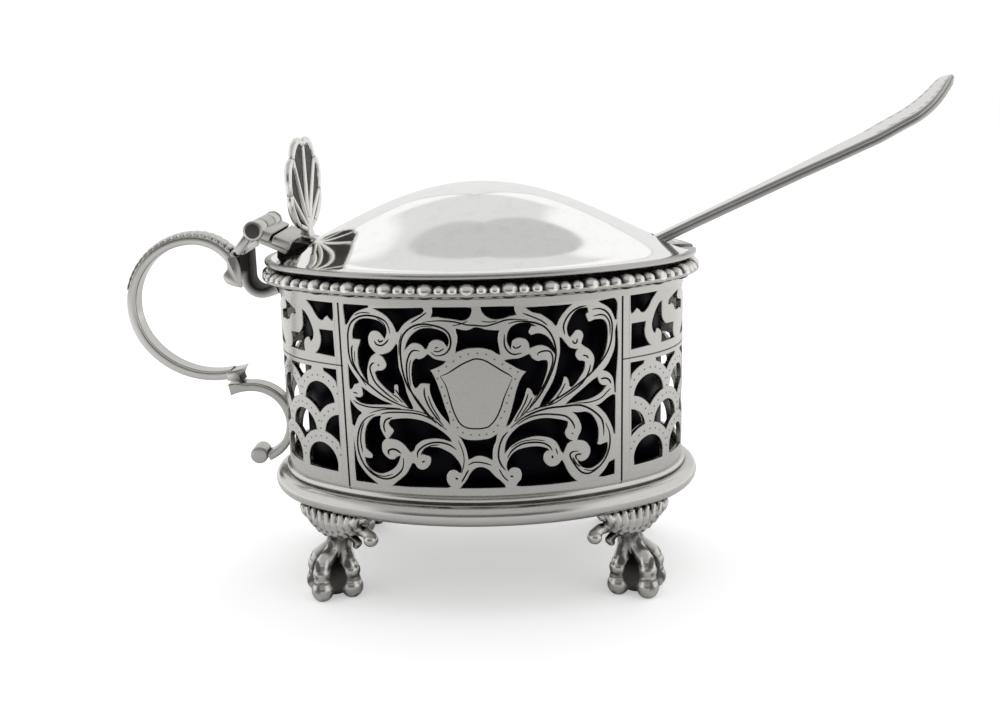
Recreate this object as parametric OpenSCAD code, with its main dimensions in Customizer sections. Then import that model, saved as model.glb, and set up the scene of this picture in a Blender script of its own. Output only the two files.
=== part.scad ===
// Oval pierced mustard pot on four claw-and-ball feet, with a dark glass liner,
// a hinged domed lid and a spoon. Millimetres, +Z up, +X at the spoon end,
// -Y at the front. The origin is on the table under the middle of the pot.

/* [Oval] */
// Half length of the pierced wall, over its outer face
wall_half_length = 33.8; // [32.5:0.1:35]
// Half width of the pierced wall, over its outer face
wall_half_width = 23.7; // [23:0.1:24.5]

/* [Wall] */
// Height of the feet, up to the underside of the base
foot_height = 15; // [13.5:0.1:18]
// Height of the base moulding
base_height = 4.5; // [4:0.1:5.5]
// How far the base moulding stands out from the wall
base_reach = 2.5; // [2:0.1:3]
// Thickness of the flat ring that the wall stands on
ring_thickness = 0.6; // [0.4:0.1:1]
// Thickness of the bottom plate
plate_thickness = 1; // [0.6:0.1:1.5]
// Thickness of the pierced wall
wall_thickness = 0.8; // [0.6:0.1:1.1]
// Height of the pierced wall, from the base ring to the rim
wall_height = 35.6; // [34:0.1:40]
// How far the rim stands out from the wall
rim_reach = 2.3; // [2.2:0.1:3]
// Thickness of the rim at its outer edge
rim_thickness = 0.7; // [0.5:0.1:1]
// Radius of the rim's beads
bead_radius = 1; // [0.7:0.05:1.1]
// Number of beads round the rim
bead_count = 34; // [28:2:36]

/* [Piercing] */
// Half width of the front panel's window, along the wall
panel_half = 22; // [20:0.1:23]
// Plain band under the windows, above the base moulding
lower_band = 1.1; // [0.8:0.1:2]
// Plain band between the windows and the rim
upper_band = 1.9; // [1.5:0.1:3]
// Width of the post between the front and the end panels
panel_post = 2.4; // [2:0.1:3]
// Height of the scale lattice in the end panels
lattice_height = 17.3; // [16:0.1:18]
// Height of the bar between the lattice and the upper scrolls
divider_height = 2.5; // [2:0.1:3]
// Radius of the opening in each scale
scale_opening = 3.5; // [3:0.05:3.6]
// Width of the band round each scale
scale_band = 1.9; // [1.6:0.05:2.2]

/* [Liner] */
// Gap between the pierced wall and the glass liner
liner_gap = 2.7; // [2:0.1:3.5]
// Wall of the glass liner
liner_wall = 2; // [1.5:0.1:2.5]
// Thickness of the liner's flange on the rim
liner_flange = 1.3; // [1:0.1:1.6]
// How far the liner's flange covers the rim, past the wall's outer face
liner_reach = 0.3; // [-0.3:0.1:0.4]

/* [Lid] */
// Gap between the liner's flange and the closed lid
lid_gap = 0.3; // [0.2:0.05:0.5]
// Thickness of the lid's edge
lid_edge = 1.1; // [0.9:0.1:1.4]
// How far the lid's edge stands out from the wall
lid_reach = 2.1; // [1.6:0.1:2.2]
// Width of the lid's flat edge band
lid_band = 4; // [3.5:0.1:5]
// Rise of the dome above the lid's edge
dome_rise = 11.5; // [10:0.1:13]
// Thickness of the dome
dome_thickness = 0.9; // [0.7:0.1:1.2]
// Half width of the slot that the spoon's stem leaves by
slot_half = 2; // [1.9:0.1:2.5]
// How far the notch in the dome reaches in from the end of the wall
notch_depth = 7; // [6.6:0.1:7.6]
// Half width of the notch at its narrow inner end
notch_half = 2.6; // [2.4:0.1:3]
// Half width of the notch at its open end
notch_mouth = 6; // [5.6:0.1:6.6]

/* [Hinge] */
// Distance of the hinge axis outside the end of the wall
hinge_out = 2.4; // [2.3:0.1:3.2]
// Height of the hinge axis above the lid's flat edge
hinge_rise = 5; // [4.5:0.1:6]
// Radius of the hinge knuckles
knuckle_radius = 1.4; // [1.3:0.05:1.6]
// Length of the whole hinge barrel
barrel_length = 16; // [14:0.5:18]
// Length of the lid's middle knuckle
middle_knuckle = 6; // [5:0.5:7]
// Radius of the hinge pin
pin_radius = 0.75; // [0.6:0.05:0.9]
// Running clearance round the pin
pin_clearance = 0.05; // [0.02:0.01:0.1]
// Gap between neighbouring knuckles
knuckle_gap = 0.15; // [0.1:0.05:0.3]
// Thickness of the hinge leaf on the lid
leaf_thickness = 1.5; // [1.2:0.1:1.8]

/* [Thumbpiece] */
// Height of the shell above the lid's edge
shell_height = 20; // [18:0.5:22]
// Number of lobes of the shell
shell_lobes = 7; // [5:2:9]
// Angle from the first to the last lobe
shell_spread = 96; // [80:2:110]
// Thickness of the shell
shell_thickness = 1.3; // [1:0.1:1.8]

/* [Handle] */
// Width of the handle strap, front to back
strap_width = 5.5; // [4.5:0.1:6.2]
// Thickness of the handle strap
strap_thickness = 1.5; // [1.2:0.1:1.8]
// Radius of the handle's upper outer bend
grip_radius = 11.2; // [10.5:0.1:11.6]
// Radius of the handle's lower bend
sweep_radius = 13.9; // [13:0.1:14.5]
// Radius of the handle's upper inner bend
shoulder_radius = 7.4; // [7:0.1:8]
// Height of the top of the handle above the rim
handle_rise = 5.7; // [5:0.1:6.5]
// Thickness of the bracket between handle, hinge and wall
bracket_thickness = 1.6; // [1.3:0.1:1.9]
// Radius of the lower scroll
tail_radius = 6.5; // [6.2:0.1:6.8]
// Radius of the roll that ends the lower scroll
tail_roll = 1.8; // [1.5:0.1:2]

/* [Feet] */
// Radius of the ball under each claw
ball_radius = 3.2; // [2.9:0.1:3.6]
// Radius of the toe tips
toe_radius = 1.6; // [1.3:0.05:1.7]
// Radius of the ankle
ankle_radius = 1.75; // [1.5:0.05:2.1]
// Half width of the leaf on each knee
knee_half = 6.3; // [5.6:0.1:7]

/* [Spoon] */
// Slope of the spoon's stem
stem_slope = 24.7; // [24:0.1:25.5]
// Thickness of the stem
stem_thickness = 1.5; // [1.1:0.1:1.6]
// Half width of the stem where it passes the slot
stem_half = 1.4; // [1.1:0.1:1.5]
// Half width of the stem's upturned tip
tip_half = 3.5; // [3:0.1:4]
// Length of the stem outside the lid
stem_outside = 39.5; // [36:0.5:46]
// Radius of the spoon's bowl
bowl_radius = 8.6; // [8:0.1:9.2]
// Gap under the bowl and past the slot at rest
spoon_gap = 0.3; // [0.2:0.05:0.4]

/* [Hidden] */
$fn = 96;

silver = [0.80, 0.79, 0.77];
polished = [0.90, 0.90, 0.89];
darkened = [0.55, 0.54, 0.52];
cobalt = [0.02, 0.02, 0.05];

// The oval's four arcs meet on lines that slope 3 in 4, so their centres and radii follow
// from its two sizes
joint = [0.6, -0.8];
centre_distance = (wall_half_length - wall_half_width) / 0.4;
end_centre = joint.x * centre_distance;
side_centre = -joint.y * centre_distance;
end_radius = wall_half_length - end_centre;
side_radius = end_radius + centre_distance;
side_turn = atan2(joint.x, -joint.y);
end_turn = 90 - side_turn;
// Length of half a side arc and of a quarter of the oval
side_length = side_radius * side_turn * PI / 180;
quarter = side_length + end_radius * end_turn * PI / 180;

// Heights
ring_top = foot_height + ring_thickness;
base_top = foot_height + base_height;
wall_top = ring_top + wall_height;
rim_top = wall_top + 0.6;
floor_z = ring_top + plate_thickness;
liner_top = rim_top + liner_flange;
lid_under = liner_top + lid_gap;
lid_top = lid_under + lid_edge;
window_bottom = base_top + lower_band;
window_top = wall_top - upper_band;
window_height = window_top - window_bottom;
divider_bottom = window_bottom + lattice_height;
divider_top = divider_bottom + divider_height;

// Hinge axis and the handle's vertical face on the bracket
hinge_x = -wall_half_length - hinge_out;
hinge_z = lid_top + hinge_rise;
bracket_x = hinge_x - 3.8;
bore_radius = pin_radius + pin_clearance;

big = 200;

// The oval

// Arc that holds the point u along the wall from the front middle: centre, radius, turn of its normal
function arc_at(u) =
    let (v = u - 4 * quarter * floor(u / (4 * quarter)), deg = 180 / PI)
    v < side_length ? [0, side_centre, side_radius, v / side_radius * deg]
    : v < 2 * quarter - side_length
        ? [end_centre, 0, end_radius, side_turn + (v - side_length) / end_radius * deg]
    : v < 2 * quarter + side_length
        ? [0, -side_centre, side_radius, 180 - (2 * quarter - v) / side_radius * deg]
    : v < 4 * quarter - side_length
        ? [-end_centre, 0, end_radius, 270 + (v - 3 * quarter) / end_radius * deg]
    : [0, side_centre, side_radius, (v - 4 * quarter) / side_radius * deg];

// Point of the oval at u, stood off from the wall's outer face
function oval_point(u, off = 0) =
    let (arc = arc_at(u), r = arc[2] + off)
    [arc[0] + r * sin(arc[3]), arc[1] - r * cos(arc[3])];

// Stands a child at u along the wall, with its -Y side facing out
module on_oval(u, off = 0, z = 0) {
    p = oval_point(u, off);
    translate([p.x, p.y, z]) rotate([0, 0, arc_at(u)[3]]) children();
}

// The four sectors that the oval's arcs fill
module end_sector(end) {
    polygon([[end * end_centre, 0], [end * (end_centre + big * joint.x), big * joint.y],
             [end * (end_centre + big * joint.x), -big * joint.y]]);
}
module side_sector(side) {
    polygon([[0, -side * side_centre], [-big * joint.x, -side * (side_centre + big * joint.y)],
             [big * joint.x, -side * (side_centre + big * joint.y)]]);
}

// Outline of the oval, stood off from the wall's outer face
module oval_outline(off = 0) {
    joint_x = end_centre + (end_radius + off) * joint.x;
    intersection() {
        translate([0, side_centre]) circle(side_radius + off);
        translate([0, -side_centre]) circle(side_radius + off);
        square([2 * joint_x, big], center = true);
    }
    for (end = [-1, 1])
        intersection() {
            translate([end * end_centre, 0]) circle(end_radius + off);
            translate([end * (joint_x + big / 2), 0]) square([big, big], center = true);
        }
}

// Oval slab between two heights
module oval_slab(off, z0, z1) {
    translate([0, 0, z0]) linear_extrude(z1 - z0) oval_outline(off);
}

// Sweeps a profile, drawn as stand-off and height, round one side of the oval
module side_sweep(side) {
    intersection() {
        translate([0, -side * side_centre, 0]) rotate_extrude() translate([side_radius, 0]) children();
        linear_extrude(big) side_sector(side);
    }
}

// Sweeps a profile, drawn as stand-off and height, round the oval
module oval_sweep() {
    for (end = [-1, 1])
        intersection() {
            translate([end * end_centre, 0, 0]) rotate_extrude() translate([end_radius, 0]) children();
            linear_extrude(big) end_sector(end);
        }
    for (side = [-1, 1]) side_sweep(side) children();
}

// Turns a drawing of width and height into a bar through the wall
module through_wall(depth) {
    rotate([90, 0, 0]) linear_extrude(depth, center = true) children();
}

// Drawing of the pierced scrolls

// Point of a smooth curve through four neighbours
function smooth(a, b, c, d, t) =
    0.5 * (2 * b + (c - a) * t + (2 * a - 5 * b + 4 * c - d) * t ^ 2 + (3 * b - a - 3 * c + d) * t ^ 3);

// Points of the smooth curve through a list, with a few steps between neighbours
function curve(points, steps = 2) =
    let (n = len(points))
    [for (i = [0:n - 2], k = [0:steps - 1])
        smooth(points[max(i - 1, 0)], points[i], points[i + 1], points[min(i + 2, n - 1)], k / steps),
     points[n - 1]];

// Outline of a strap along a curve, from one width to another
function strap(line, w0, w1) =
    let (
        n = len(line),
        side = [for (i = [0:n - 1])
            let (d = line[min(i + 1, n - 1)] - line[max(i - 1, 0)], w = (w0 + (w1 - w0) * i / (n - 1)) / 2)
            [-d.y, d.x] / norm(d) * w]
    )
    concat([for (i = [0:n - 1]) line[i] + side[i]], [for (i = [n - 1:-1:0]) line[i] - side[i]]);

// The front panel is drawn on a card of this half width and height
card_half = 22;
card_height = 28.7;
function on_card(p) = [
    side_radius * sin(p.x * panel_half / card_half / side_radius * 180 / PI),
    window_bottom + p.y * window_height / card_height
];
function card_outline(points) = [for (p = points) on_card(p)];

// Scroll straps of the right half: points of the middle line, first and last width
scrolls = [
    // Outer stem that climbs to the upper corner and rolls in
    [[[4.6, 9.4], [8.5, 12.2], [12.2, 13.9], [15.7, 15.6], [18.6, 17.9], [20.4, 20.6], [20.9, 23.2],
      [20.5, 25.4], [19.2, 27], [17.1, 27.6], [15.1, 27], [13.8, 25.5], [13.4, 23.8], [14.2, 22.2]],
     1.1, 1.5],
    // Leaf inside the outer stem
    [[[16.6, 16.2], [18.5, 18.4], [19.3, 20.7], [19, 23.2]], 1.1, 0.4],
    // Second stem, with its small roll under the first
    [[[9, 12.8], [12.2, 14.4], [14.9, 16.1], [16.7, 17.8], [17.2, 19.3], [16.7, 20.6], [15.7, 21.4]],
     1, 1.1],
    // Leaf between the stems
    [[[9.6, 12.6], [11.6, 14.3], [13, 16.6]], 1, 0.3],
    // Inner stem that rolls in beside the shield
    [[[4.8, 9], [7.4, 12], [9.5, 14.5], [11.1, 17.2], [11.9, 19.9], [12, 22.3], [11.4, 24.4], [9.9, 25.9],
      [7.9, 26.5], [5.8, 26], [4.2, 24.8], [3.7, 23.3], [4.4, 21.9], [5.8, 21.2]], 1.1, 1.3],
    // Second inner stem
    [[[6.8, 11.2], [9, 13.8], [10.1, 16.3], [10.6, 18.6], [10.5, 20.8], [9.9, 22.3]], 0.9, 1],
    // Leaf beside the shield
    [[[5.2, 10.2], [7, 13], [8.3, 16.7]], 1.1, 1.4],
    // Branch up to the frame
    [[[12, 24.8], [10.6, 26.5], [9.1, 27.7], [7.2, 28.9]], 1.1, 1.2],
    // Wave over the shield
    [[[9, 26.7], [6.8, 26.8], [4.8, 26.3], [2.8, 25.8], [1.2, 26], [-0.2, 26.3]], 1.2, 1.4],
    // Lower stem that rolls in at the bottom
    [[[4.7, 9], [7.8, 11.2], [11.3, 12.2], [14.9, 12], [17.9, 10.9], [19.9, 8.9], [20.4, 6.4], [19.7, 3.9],
      [18.1, 2.1], [15.9, 1.4], [13.7, 2], [12.2, 3.6], [11.8, 5.4], [12.7, 7]], 1.2, 1.5],
    // Leaf inside the lower stem
    [[[17.4, 10.9], [18.8, 9.1], [19.3, 7], [18.9, 5.4], [17.9, 4.6]], 0.9, 0.6],
    // Curl that hangs from the lower stem
    [[[13, 12.2], [14.9, 11.2], [15.5, 9.8], [15.1, 8.2], [14.6, 7.4]], 0.9, 0.9],
    // Inner lower roll
    [[[2.9, 6.6], [4.9, 7.5], [6.8, 7.6], [8.7, 7.1], [9.8, 5.9], [9.9, 4.6]], 1.2, 1.2],
    // Band from the root down to the frame
    [[[4.6, 9.6], [3.2, 8], [2.5, 6.2], [2.5, 4.4], [3.1, 2.8], [4, 0.6]], 1.3, 1.3],
    // Arch in the middle of the bottom
    [[[3.7, 0.6], [2.4, 2.8], [1.3, 4.1], [-0.2, 4.5]], 1.1, 1.3],
    // Side curl next to the frame
    [[[10.5, 12.8], [14, 12.9], [17.3, 13.2], [19.8, 13.8], [21.2, 15], [20.9, 16.4], [19.4, 17.9]],
     0.9, 0.9],
    // Ties to the frame
    [[[20.6, 22.6], [22.4, 23]], 1.2, 1.4],
    [[[20, 7], [22.4, 7]], 1.4, 1.6],
    [[[20.8, 14.6], [22.4, 13.6]], 0.9, 1.4],
    [[[12.6, 24.4], [13.4, 24.6]], 1.4, 1.4],
    [[[16, 1.6], [16, -0.4]], 2.2, 3],
    [[[17.4, 27.4], [17.6, 29]], 2, 2.6],
    [[[10.6, 5.2], [12, 5.2]], 1, 1.2],
];

// Rolled ends of the scrolls: place and radius
rolls = [
    [15.6, 23.1, 1.75], [15.7, 19.9, 1.25], [6.5, 22.5, 1.4], [9.2, 21.8, 1.3],
    [14.3, 6.1, 1.75], [14.5, 8.8, 0.8], [8.9, 4.7, 1.35], [4.5, 2, 1.25], [20.1, 15.5, 1],
];

// Right half of the bare shield
shield = [
    [-0.2, 22.2], [1.2, 22], [2.3, 21.6], [3.9, 20.6], [5.4, 19.8], [7.2, 19], [6.3, 17.2], [5.6, 14.5],
    [4.9, 11.5], [4, 9.6], [2.7, 8.6], [1.2, 8.2], [-0.2, 8.1]
];

module fretwork_half() {
    for (s = scrolls) polygon(card_outline(strap(curve(s[0]), s[1], s[2])));
    for (r = rolls) translate(on_card([r.x, r.y])) circle(r[2], $fn = 32);
    polygon(card_outline(shield));
    polygon(card_outline([[-0.2, 25.8], [0.7, 25.8], [0.6, 27.4], [1.2, 29], [-0.2, 29]]));
}

// Scrolls of a whole front panel, as thick bars across the wall
module fretwork(depth) {
    rotate([90, 0, 0])
        linear_extrude(depth) {
            fretwork_half();
            mirror([1, 0]) fretwork_half();
        }
}

// End panels
lattice_start = panel_half + panel_post;
lattice_length = 2 * (quarter - lattice_start);
scales_across = 5;
scale_pitch = lattice_length / scales_across;
scale_rows = 3;
scale_rise = 5.4;
scale_outer = scale_opening + scale_band;
// The crowns of the top row run into the bar, and the lower rows follow under it
function scale_foot(row) = divider_bottom + 0.25 - scale_outer - (scale_rows - 1 - row) * scale_rise;

// One opening of the scale lattice, drawn about the foot of its arch
module scale_window(row, left, right) {
    foot = scale_foot(row);
    leg = scale_opening - 0.1;
    intersection() {
        difference() {
            union() {
                translate([0, foot]) circle(scale_opening);
                if (row == 0)
                    translate([-leg, foot - lattice_height]) square([2 * leg, lattice_height]);
            }
            if (row > 0)
                for (dx = [-scale_pitch, scale_pitch] / 2)
                    translate([dx, foot - scale_rise]) circle(scale_outer);
        }
        translate([left, window_bottom]) square([right - left, lattice_height]);
    }
}

// Opening between two scales of the top row and the bar above
module scale_spandrel(left, right) {
    foot = scale_foot(scale_rows - 1);
    difference() {
        translate([left, foot]) square([right - left, divider_bottom - foot]);
        for (dx = [-scale_pitch, scale_pitch] / 2)
            translate([dx, foot]) circle(scale_outer);
    }
}

// Half a unit of the upper end panel: a roll with its bud, on a window of its own
end_units = 4;
end_bar = 2.6;
end_post = 0.9;
unit_width = (lattice_length - end_bar) / end_units;
unit_height = window_top - divider_top;
module scroll_window() {
    half = (unit_width - end_post) / 2;
    roll = unit_height * 0.42;
    difference() {
        translate([-half, divider_top]) square([2 * half, unit_height]);
        translate([-0.3, divider_top + unit_height / 2])
            difference() {
                circle(roll + 0.55);
                circle(roll - 0.55);
                translate([roll * 0.2, -roll * 0.4]) square([big, roll * 0.95]);
            }
        translate([1.3, divider_top + unit_height * 0.32]) circle(1.5, $fn = 32);
        translate([half - 1.5, divider_top + unit_height * 0.6]) circle(1.5, $fn = 32);
        translate([-half - 1, divider_top + unit_height * 0.55]) square([half - roll + 1, 1]);
        translate([half - 1.2, divider_top + unit_height * 0.5]) square([1.4, 1.1]);
        translate([-1.2, divider_top + unit_height * 0.9]) square([2.2, 2]);
        translate([-1.2, divider_top - 1]) square([2.2, unit_height * 0.1 + 1]);
    }
}

// All windows of one end panel
module end_windows() {
    depth = 4 * wall_thickness;
    for (row = [0:scale_rows - 1], i = [0:scales_across - 1])
        if (row % 2 == 0)
            on_oval(lattice_start + (i + 0.5) * scale_pitch)
                through_wall(depth) scale_window(row, -big, big);
    for (i = [0:scales_across]) {
        left = i == 0 ? 0 : -big;
        right = i == scales_across ? 0 : big;
        half = scale_pitch / 2;
        on_oval(lattice_start + i * scale_pitch) {
            through_wall(depth) scale_window(1, left, right);
            through_wall(depth) scale_spandrel(max(left, -half), min(right, half));
        }
    }
    for (i = [0:end_units - 1]) {
        past_bar = i < end_units / 2 ? 0 : end_bar;
        flip = i % 2;
        on_oval(lattice_start + (i + 0.5) * unit_width + past_bar)
            mirror([flip, 0, 0]) through_wall(depth) scroll_window();
    }
}

// Pot body

// Cast and drawn moulding round the foot of the wall, with the flat ring that the wall stands on
module base_moulding() {
    inner = -6;
    roll = base_height * 0.24;
    color(polished)
        oval_sweep() {
            polygon([
                [inner, foot_height], [base_reach - 0.5, foot_height],
                [base_reach - 0.3, foot_height + 0.7],
                [base_reach - roll, foot_height + 2 * roll + 0.6], [base_reach - 0.9, base_top - 1.5],
                [0.9, base_top - 0.7], [0.8, base_top - 0.2], [0.5, base_top], [0, base_top],
                [0, ring_top], [inner, ring_top]
            ]);
            translate([base_reach - roll, foot_height + roll + 0.6]) circle(roll, $fn = 32);
        }
}

// Flat plate that closes the bottom and carries the liner
module bottom_plate() {
    color(silver) oval_slab(-wall_thickness, ring_top, floor_z);
}

// Wall with its two scroll panels and its two end panels of scales
module pierced_wall() {
    half_x = on_card([card_half, 0]).x;
    color(silver) {
        difference() {
            oval_sweep() translate([-wall_thickness, ring_top]) square([wall_thickness, wall_height]);
            translate([-half_x, -big, window_bottom]) cube([2 * half_x, 2 * big, window_height]);
            end_windows();
            rotate([0, 0, 180]) end_windows();
        }
        for (side = [0, 180])
            rotate([0, 0, side])
                intersection() {
                    side_sweep(-1)
                        translate([-wall_thickness, window_bottom]) square([wall_thickness, window_height]);
                    translate([-half_x, -big, window_bottom]) cube([2 * half_x, big, window_height]);
                    fretwork(big);
                }
    }
}

// Rim soldered on the wall, hollowed below
module rim_moulding() {
    color(silver)
        oval_sweep()
            polygon([
                [0, wall_top - 1.3], [0.5, wall_top - 0.9], [rim_reach * 0.6, wall_top - 0.4],
                [rim_reach, rim_top - rim_thickness], [rim_reach, rim_top], [-wall_thickness, rim_top],
                [-wall_thickness, wall_top], [0, wall_top]
            ]);
}

// Beaded wire on the outer edge of the rim
module rim_beading() {
    middle = rim_reach - 0.8;
    color(silver)
        intersection() {
            union() {
                oval_sweep() translate([middle - 0.55, rim_top]) square([1.1, 0.45]);
                for (i = [0:bead_count - 1])
                    on_oval((i + 0.5) * 4 * quarter / bead_count, middle, rim_top)
                        sphere(bead_radius, $fn = 24);
            }
            translate([-big / 2, -big / 2, rim_top]) cube([big, big, 2 * bead_radius]);
        }
}

// Glass liner that hangs on the rim by its flange and stands on the plate
module glass_liner() {
    outer = -wall_thickness - liner_gap;
    color(cobalt)
        difference() {
            union() {
                oval_slab(outer, floor_z, rim_top);
                oval_slab(liner_reach, rim_top, liner_top);
            }
            oval_slab(outer - liner_wall, floor_z + liner_wall, liner_top + 1);
        }
}

// Feet

// Tapered rod between two points
module rod(from, to, r0, r1) {
    d = to - from;
    translate(from)
        rotate([0, acos(d.z / norm(d)), atan2(d.y, d.x)]) cylinder(norm(d), r0, r1, $fn = 32);
}

// The claw is turned a little on the leg, and the ankle stands behind the ball
claw_turn = 10;
ankle_in = 1.9;

// One toe: two joints beside the ball, and the sinew up to the ankle
module toe(turn) {
    out = [sin(turn), -cos(turn)];
    tip = (ball_radius + 0.9) * out;
    bend = (ball_radius + 0.4) * out;
    heel = [0.8 * out.x, ankle_in + 0.8 * out.y, foot_height * 0.62];
    translate([tip.x, tip.y, toe_radius - 0.06]) sphere(toe_radius, $fn = 32);
    translate([bend.x, bend.y, toe_radius + 3.4]) sphere(toe_radius * 0.94, $fn = 32);
    rod([bend.x, bend.y, toe_radius + 3.6], heel, 1.15, 0.9);
}

// Half outline of the leaf on the knee, and of the curl beside it, as width and height under the base
knee_leaf = [[0, 0], [1, 0], [0.96, -1.6], [0.66, -3], [0.36, -4.7], [0, -5.4]];
side_curl = [[0.9, -0.4], [6.4, -0.6], [8.2, -1.2], [8.5, -2.6], [7.8, -3.7], [6.6, -3.4], [5.4, -3.6],
             [4.9, -5.6], [3.7, -6], [2.4, -5.2], [0.9, -5.6]];

// Claw on a ball, its ankle, and the leaf and side curls of the knee; hand is the way the claw turns
module claw_foot(hand) {
    color(darkened)
        intersection() {
            union() {
                translate([0, 0, ball_radius - 0.1]) sphere(ball_radius, $fn = 48);
                for (turn = [0:90:270]) toe(turn + hand * claw_turn);
                translate([0, ankle_in, 0])
                    rotate_extrude($fn = 48)
                        polygon([
                            [0, ball_radius], [1.6, ball_radius + 1], [ankle_radius, foot_height * 0.5],
                            [ankle_radius + 0.1, foot_height * 0.62],
                            [ankle_radius + 1.1, foot_height * 0.78],
                            [ankle_radius + 1.8, foot_height * 0.92], [ankle_radius + 2, foot_height],
                            [0, foot_height]
                        ]);
                translate([0, -2, foot_height])
                    rotate([90, 0, 180])
                        linear_extrude(2.4)
                            for (end = [-1, 1])
                                polygon([for (p = knee_leaf) [end * p.x * knee_half, p.y]]);
                translate([0, 0.2, foot_height])
                    rotate([90, 0, 180])
                        linear_extrude(1.9)
                            for (end = [-1, 1])
                                polygon([for (p = side_curl) [end * p.x, p.y]]);
            }
            translate([-big / 2, -big / 2, 0]) cube([big, big, foot_height]);
        }
}

// Place of the feet along the wall from the middle of each side, and how far inside its face
foot_u = 0.96 * side_length;
foot_in = 0.8;
module foot_front_right() on_oval(foot_u, -foot_in) claw_foot(1);
module foot_back_right() on_oval(2 * quarter - foot_u, -foot_in) claw_foot(-1);
module foot_back_left() on_oval(2 * quarter + foot_u, -foot_in) claw_foot(1);
module foot_front_left() on_oval(4 * quarter - foot_u, -foot_in) claw_foot(-1);

// Handle, drawn in the plane of X and Z

// Band of an arc, cut to a sector whose corners lie in the given directions from its centre
module arc_band(centre, radius, directions, thickness) {
    translate(centre)
        intersection() {
            difference() {
                circle(radius + thickness / 2);
                circle(radius - thickness / 2);
            }
            polygon(concat([[0, 0]], [for (d = directions) 4 * radius * d]));
        }
}

module across(width) {
    rotate([90, 0, 0]) linear_extrude(width, center = true) children();
}

grip_turn = [-0.8, -0.6];
sweep_end = [0.352, -0.936];
shoulder_top = rim_top + handle_rise;
shoulder_centre = [bracket_x - shoulder_radius - strap_thickness / 2, shoulder_top - shoulder_radius];
grip_centre = shoulder_centre - [0, grip_radius - shoulder_radius];
sweep_centre = grip_centre - (sweep_radius - grip_radius) * grip_turn;
tail_centre = [-wall_half_length - tail_radius - strap_thickness / 2 + 0.8, floor_z + 8.8];
tail_top = tail_centre.y + tail_radius + strap_thickness / 2;

// Main scroll of the handle, with its rolled upper end and the step at its lower end
module handle_scroll() {
    roll = 1.6;
    end = sweep_centre + sweep_radius * sweep_end;
    color(silver)
        intersection() {
            union() {
                across(strap_width) {
                    arc_band(shoulder_centre, shoulder_radius, [[1, 0], [1, 1], [0, 1]], strap_thickness);
                    arc_band(grip_centre, grip_radius, [[0, 1], [-1, 1], [-1, 0], grip_turn],
                             strap_thickness);
                    arc_band(sweep_centre, sweep_radius, [grip_turn, [0, -1], sweep_end], strap_thickness);
                    translate([end.x - 1.9, tail_top]) square([1.6, end.y - tail_top]);
                }
                across(strap_width + 1)
                    translate([bracket_x - roll + 0.15, shoulder_centre.y + 0.3]) circle(roll);
            }
            translate([bracket_x - big, -big / 2, 0]) cube([big, big, big]);
        }
}

// Lower scroll, from under the handle to the wall and back to its rolled end
module handle_tail() {
    turn = [0.36, -0.933];
    end = tail_centre + tail_radius * turn;
    color(silver)
        difference() {
            union() {
                across(strap_width) {
                    arc_band(tail_centre, tail_radius, [turn, [1, -1], [1, 1], [0, 1]], strap_thickness);
                    translate([tail_centre.x - 3.4, tail_top - strap_thickness])
                        square([3.4, strap_thickness]);
                }
                across(strap_width + 1) translate([end.x - tail_roll + 0.3, end.y + 0.4]) circle(tail_roll);
            }
            oval_slab(0, 0, wall_top);
        }
}

// Bracket that carries the handle and the hinge on the wall: a hooked strap and two knuckles
module handle_bracket() {
    hook_radius = 2.6;
    hook_centre = [bracket_x + bracket_thickness / 2 + hook_radius, wall_top];
    arm_z = hinge_z - 4.4;
    knuckle_length = (barrel_length - middle_knuckle) / 2 - knuckle_gap;
    color(silver)
        difference() {
            union() {
                across(strap_width) {
                    arc_band(hook_centre, hook_radius, [[-1, 0], [-1, -1], [0, -1]], bracket_thickness);
                    translate([hook_centre.x, hook_centre.y - hook_radius - bracket_thickness / 2])
                        square([-wall_half_length + 1 - hook_centre.x, bracket_thickness]);
                    translate([bracket_x, hook_centre.y])
                        square([bracket_thickness, arm_z - hook_centre.y + 1]);
                }
                across(barrel_length)
                    translate([bracket_x, arm_z]) square([bracket_thickness, 1.6]);
                for (end = [-1, 1])
                    translate([0, end * (barrel_length - knuckle_length) / 2, 0])
                        across(knuckle_length) {
                            translate([hinge_x, hinge_z]) circle(knuckle_radius);
                            polygon([
                                [bracket_x, arm_z + 1.6], [bracket_x + bracket_thickness, arm_z + 1.6],
                                [hinge_x, hinge_z - 1], [hinge_x - 1, hinge_z]
                            ]);
                        }
            }
            oval_slab(0, 0, wall_top);
            translate([hinge_x, 0, hinge_z])
                rotate([90, 0, 0]) cylinder(big, pin_radius, pin_radius, center = true);
        }
}

// Pin through all the knuckles
module hinge_pin() {
    color(darkened)
        translate([hinge_x, 0, hinge_z])
            rotate([90, 0, 0]) cylinder(barrel_length + 0.3, pin_radius, pin_radius, center = true);
}

// Lid

dome_reach = lid_reach - 1;
dome_steps = 64;
dome_rings = 10;

// Point of the dome at a turn round the oval and a share of the way out from the middle
function dome_point(i, share, edge_share, rise) =
    let (p = oval_point(i * 4 * quarter / dome_steps, dome_reach) * share)
    [p.x, p.y, lid_top + rise * max(0, 1 - (share / edge_share) ^ 2) ^ 1.5];

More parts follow.
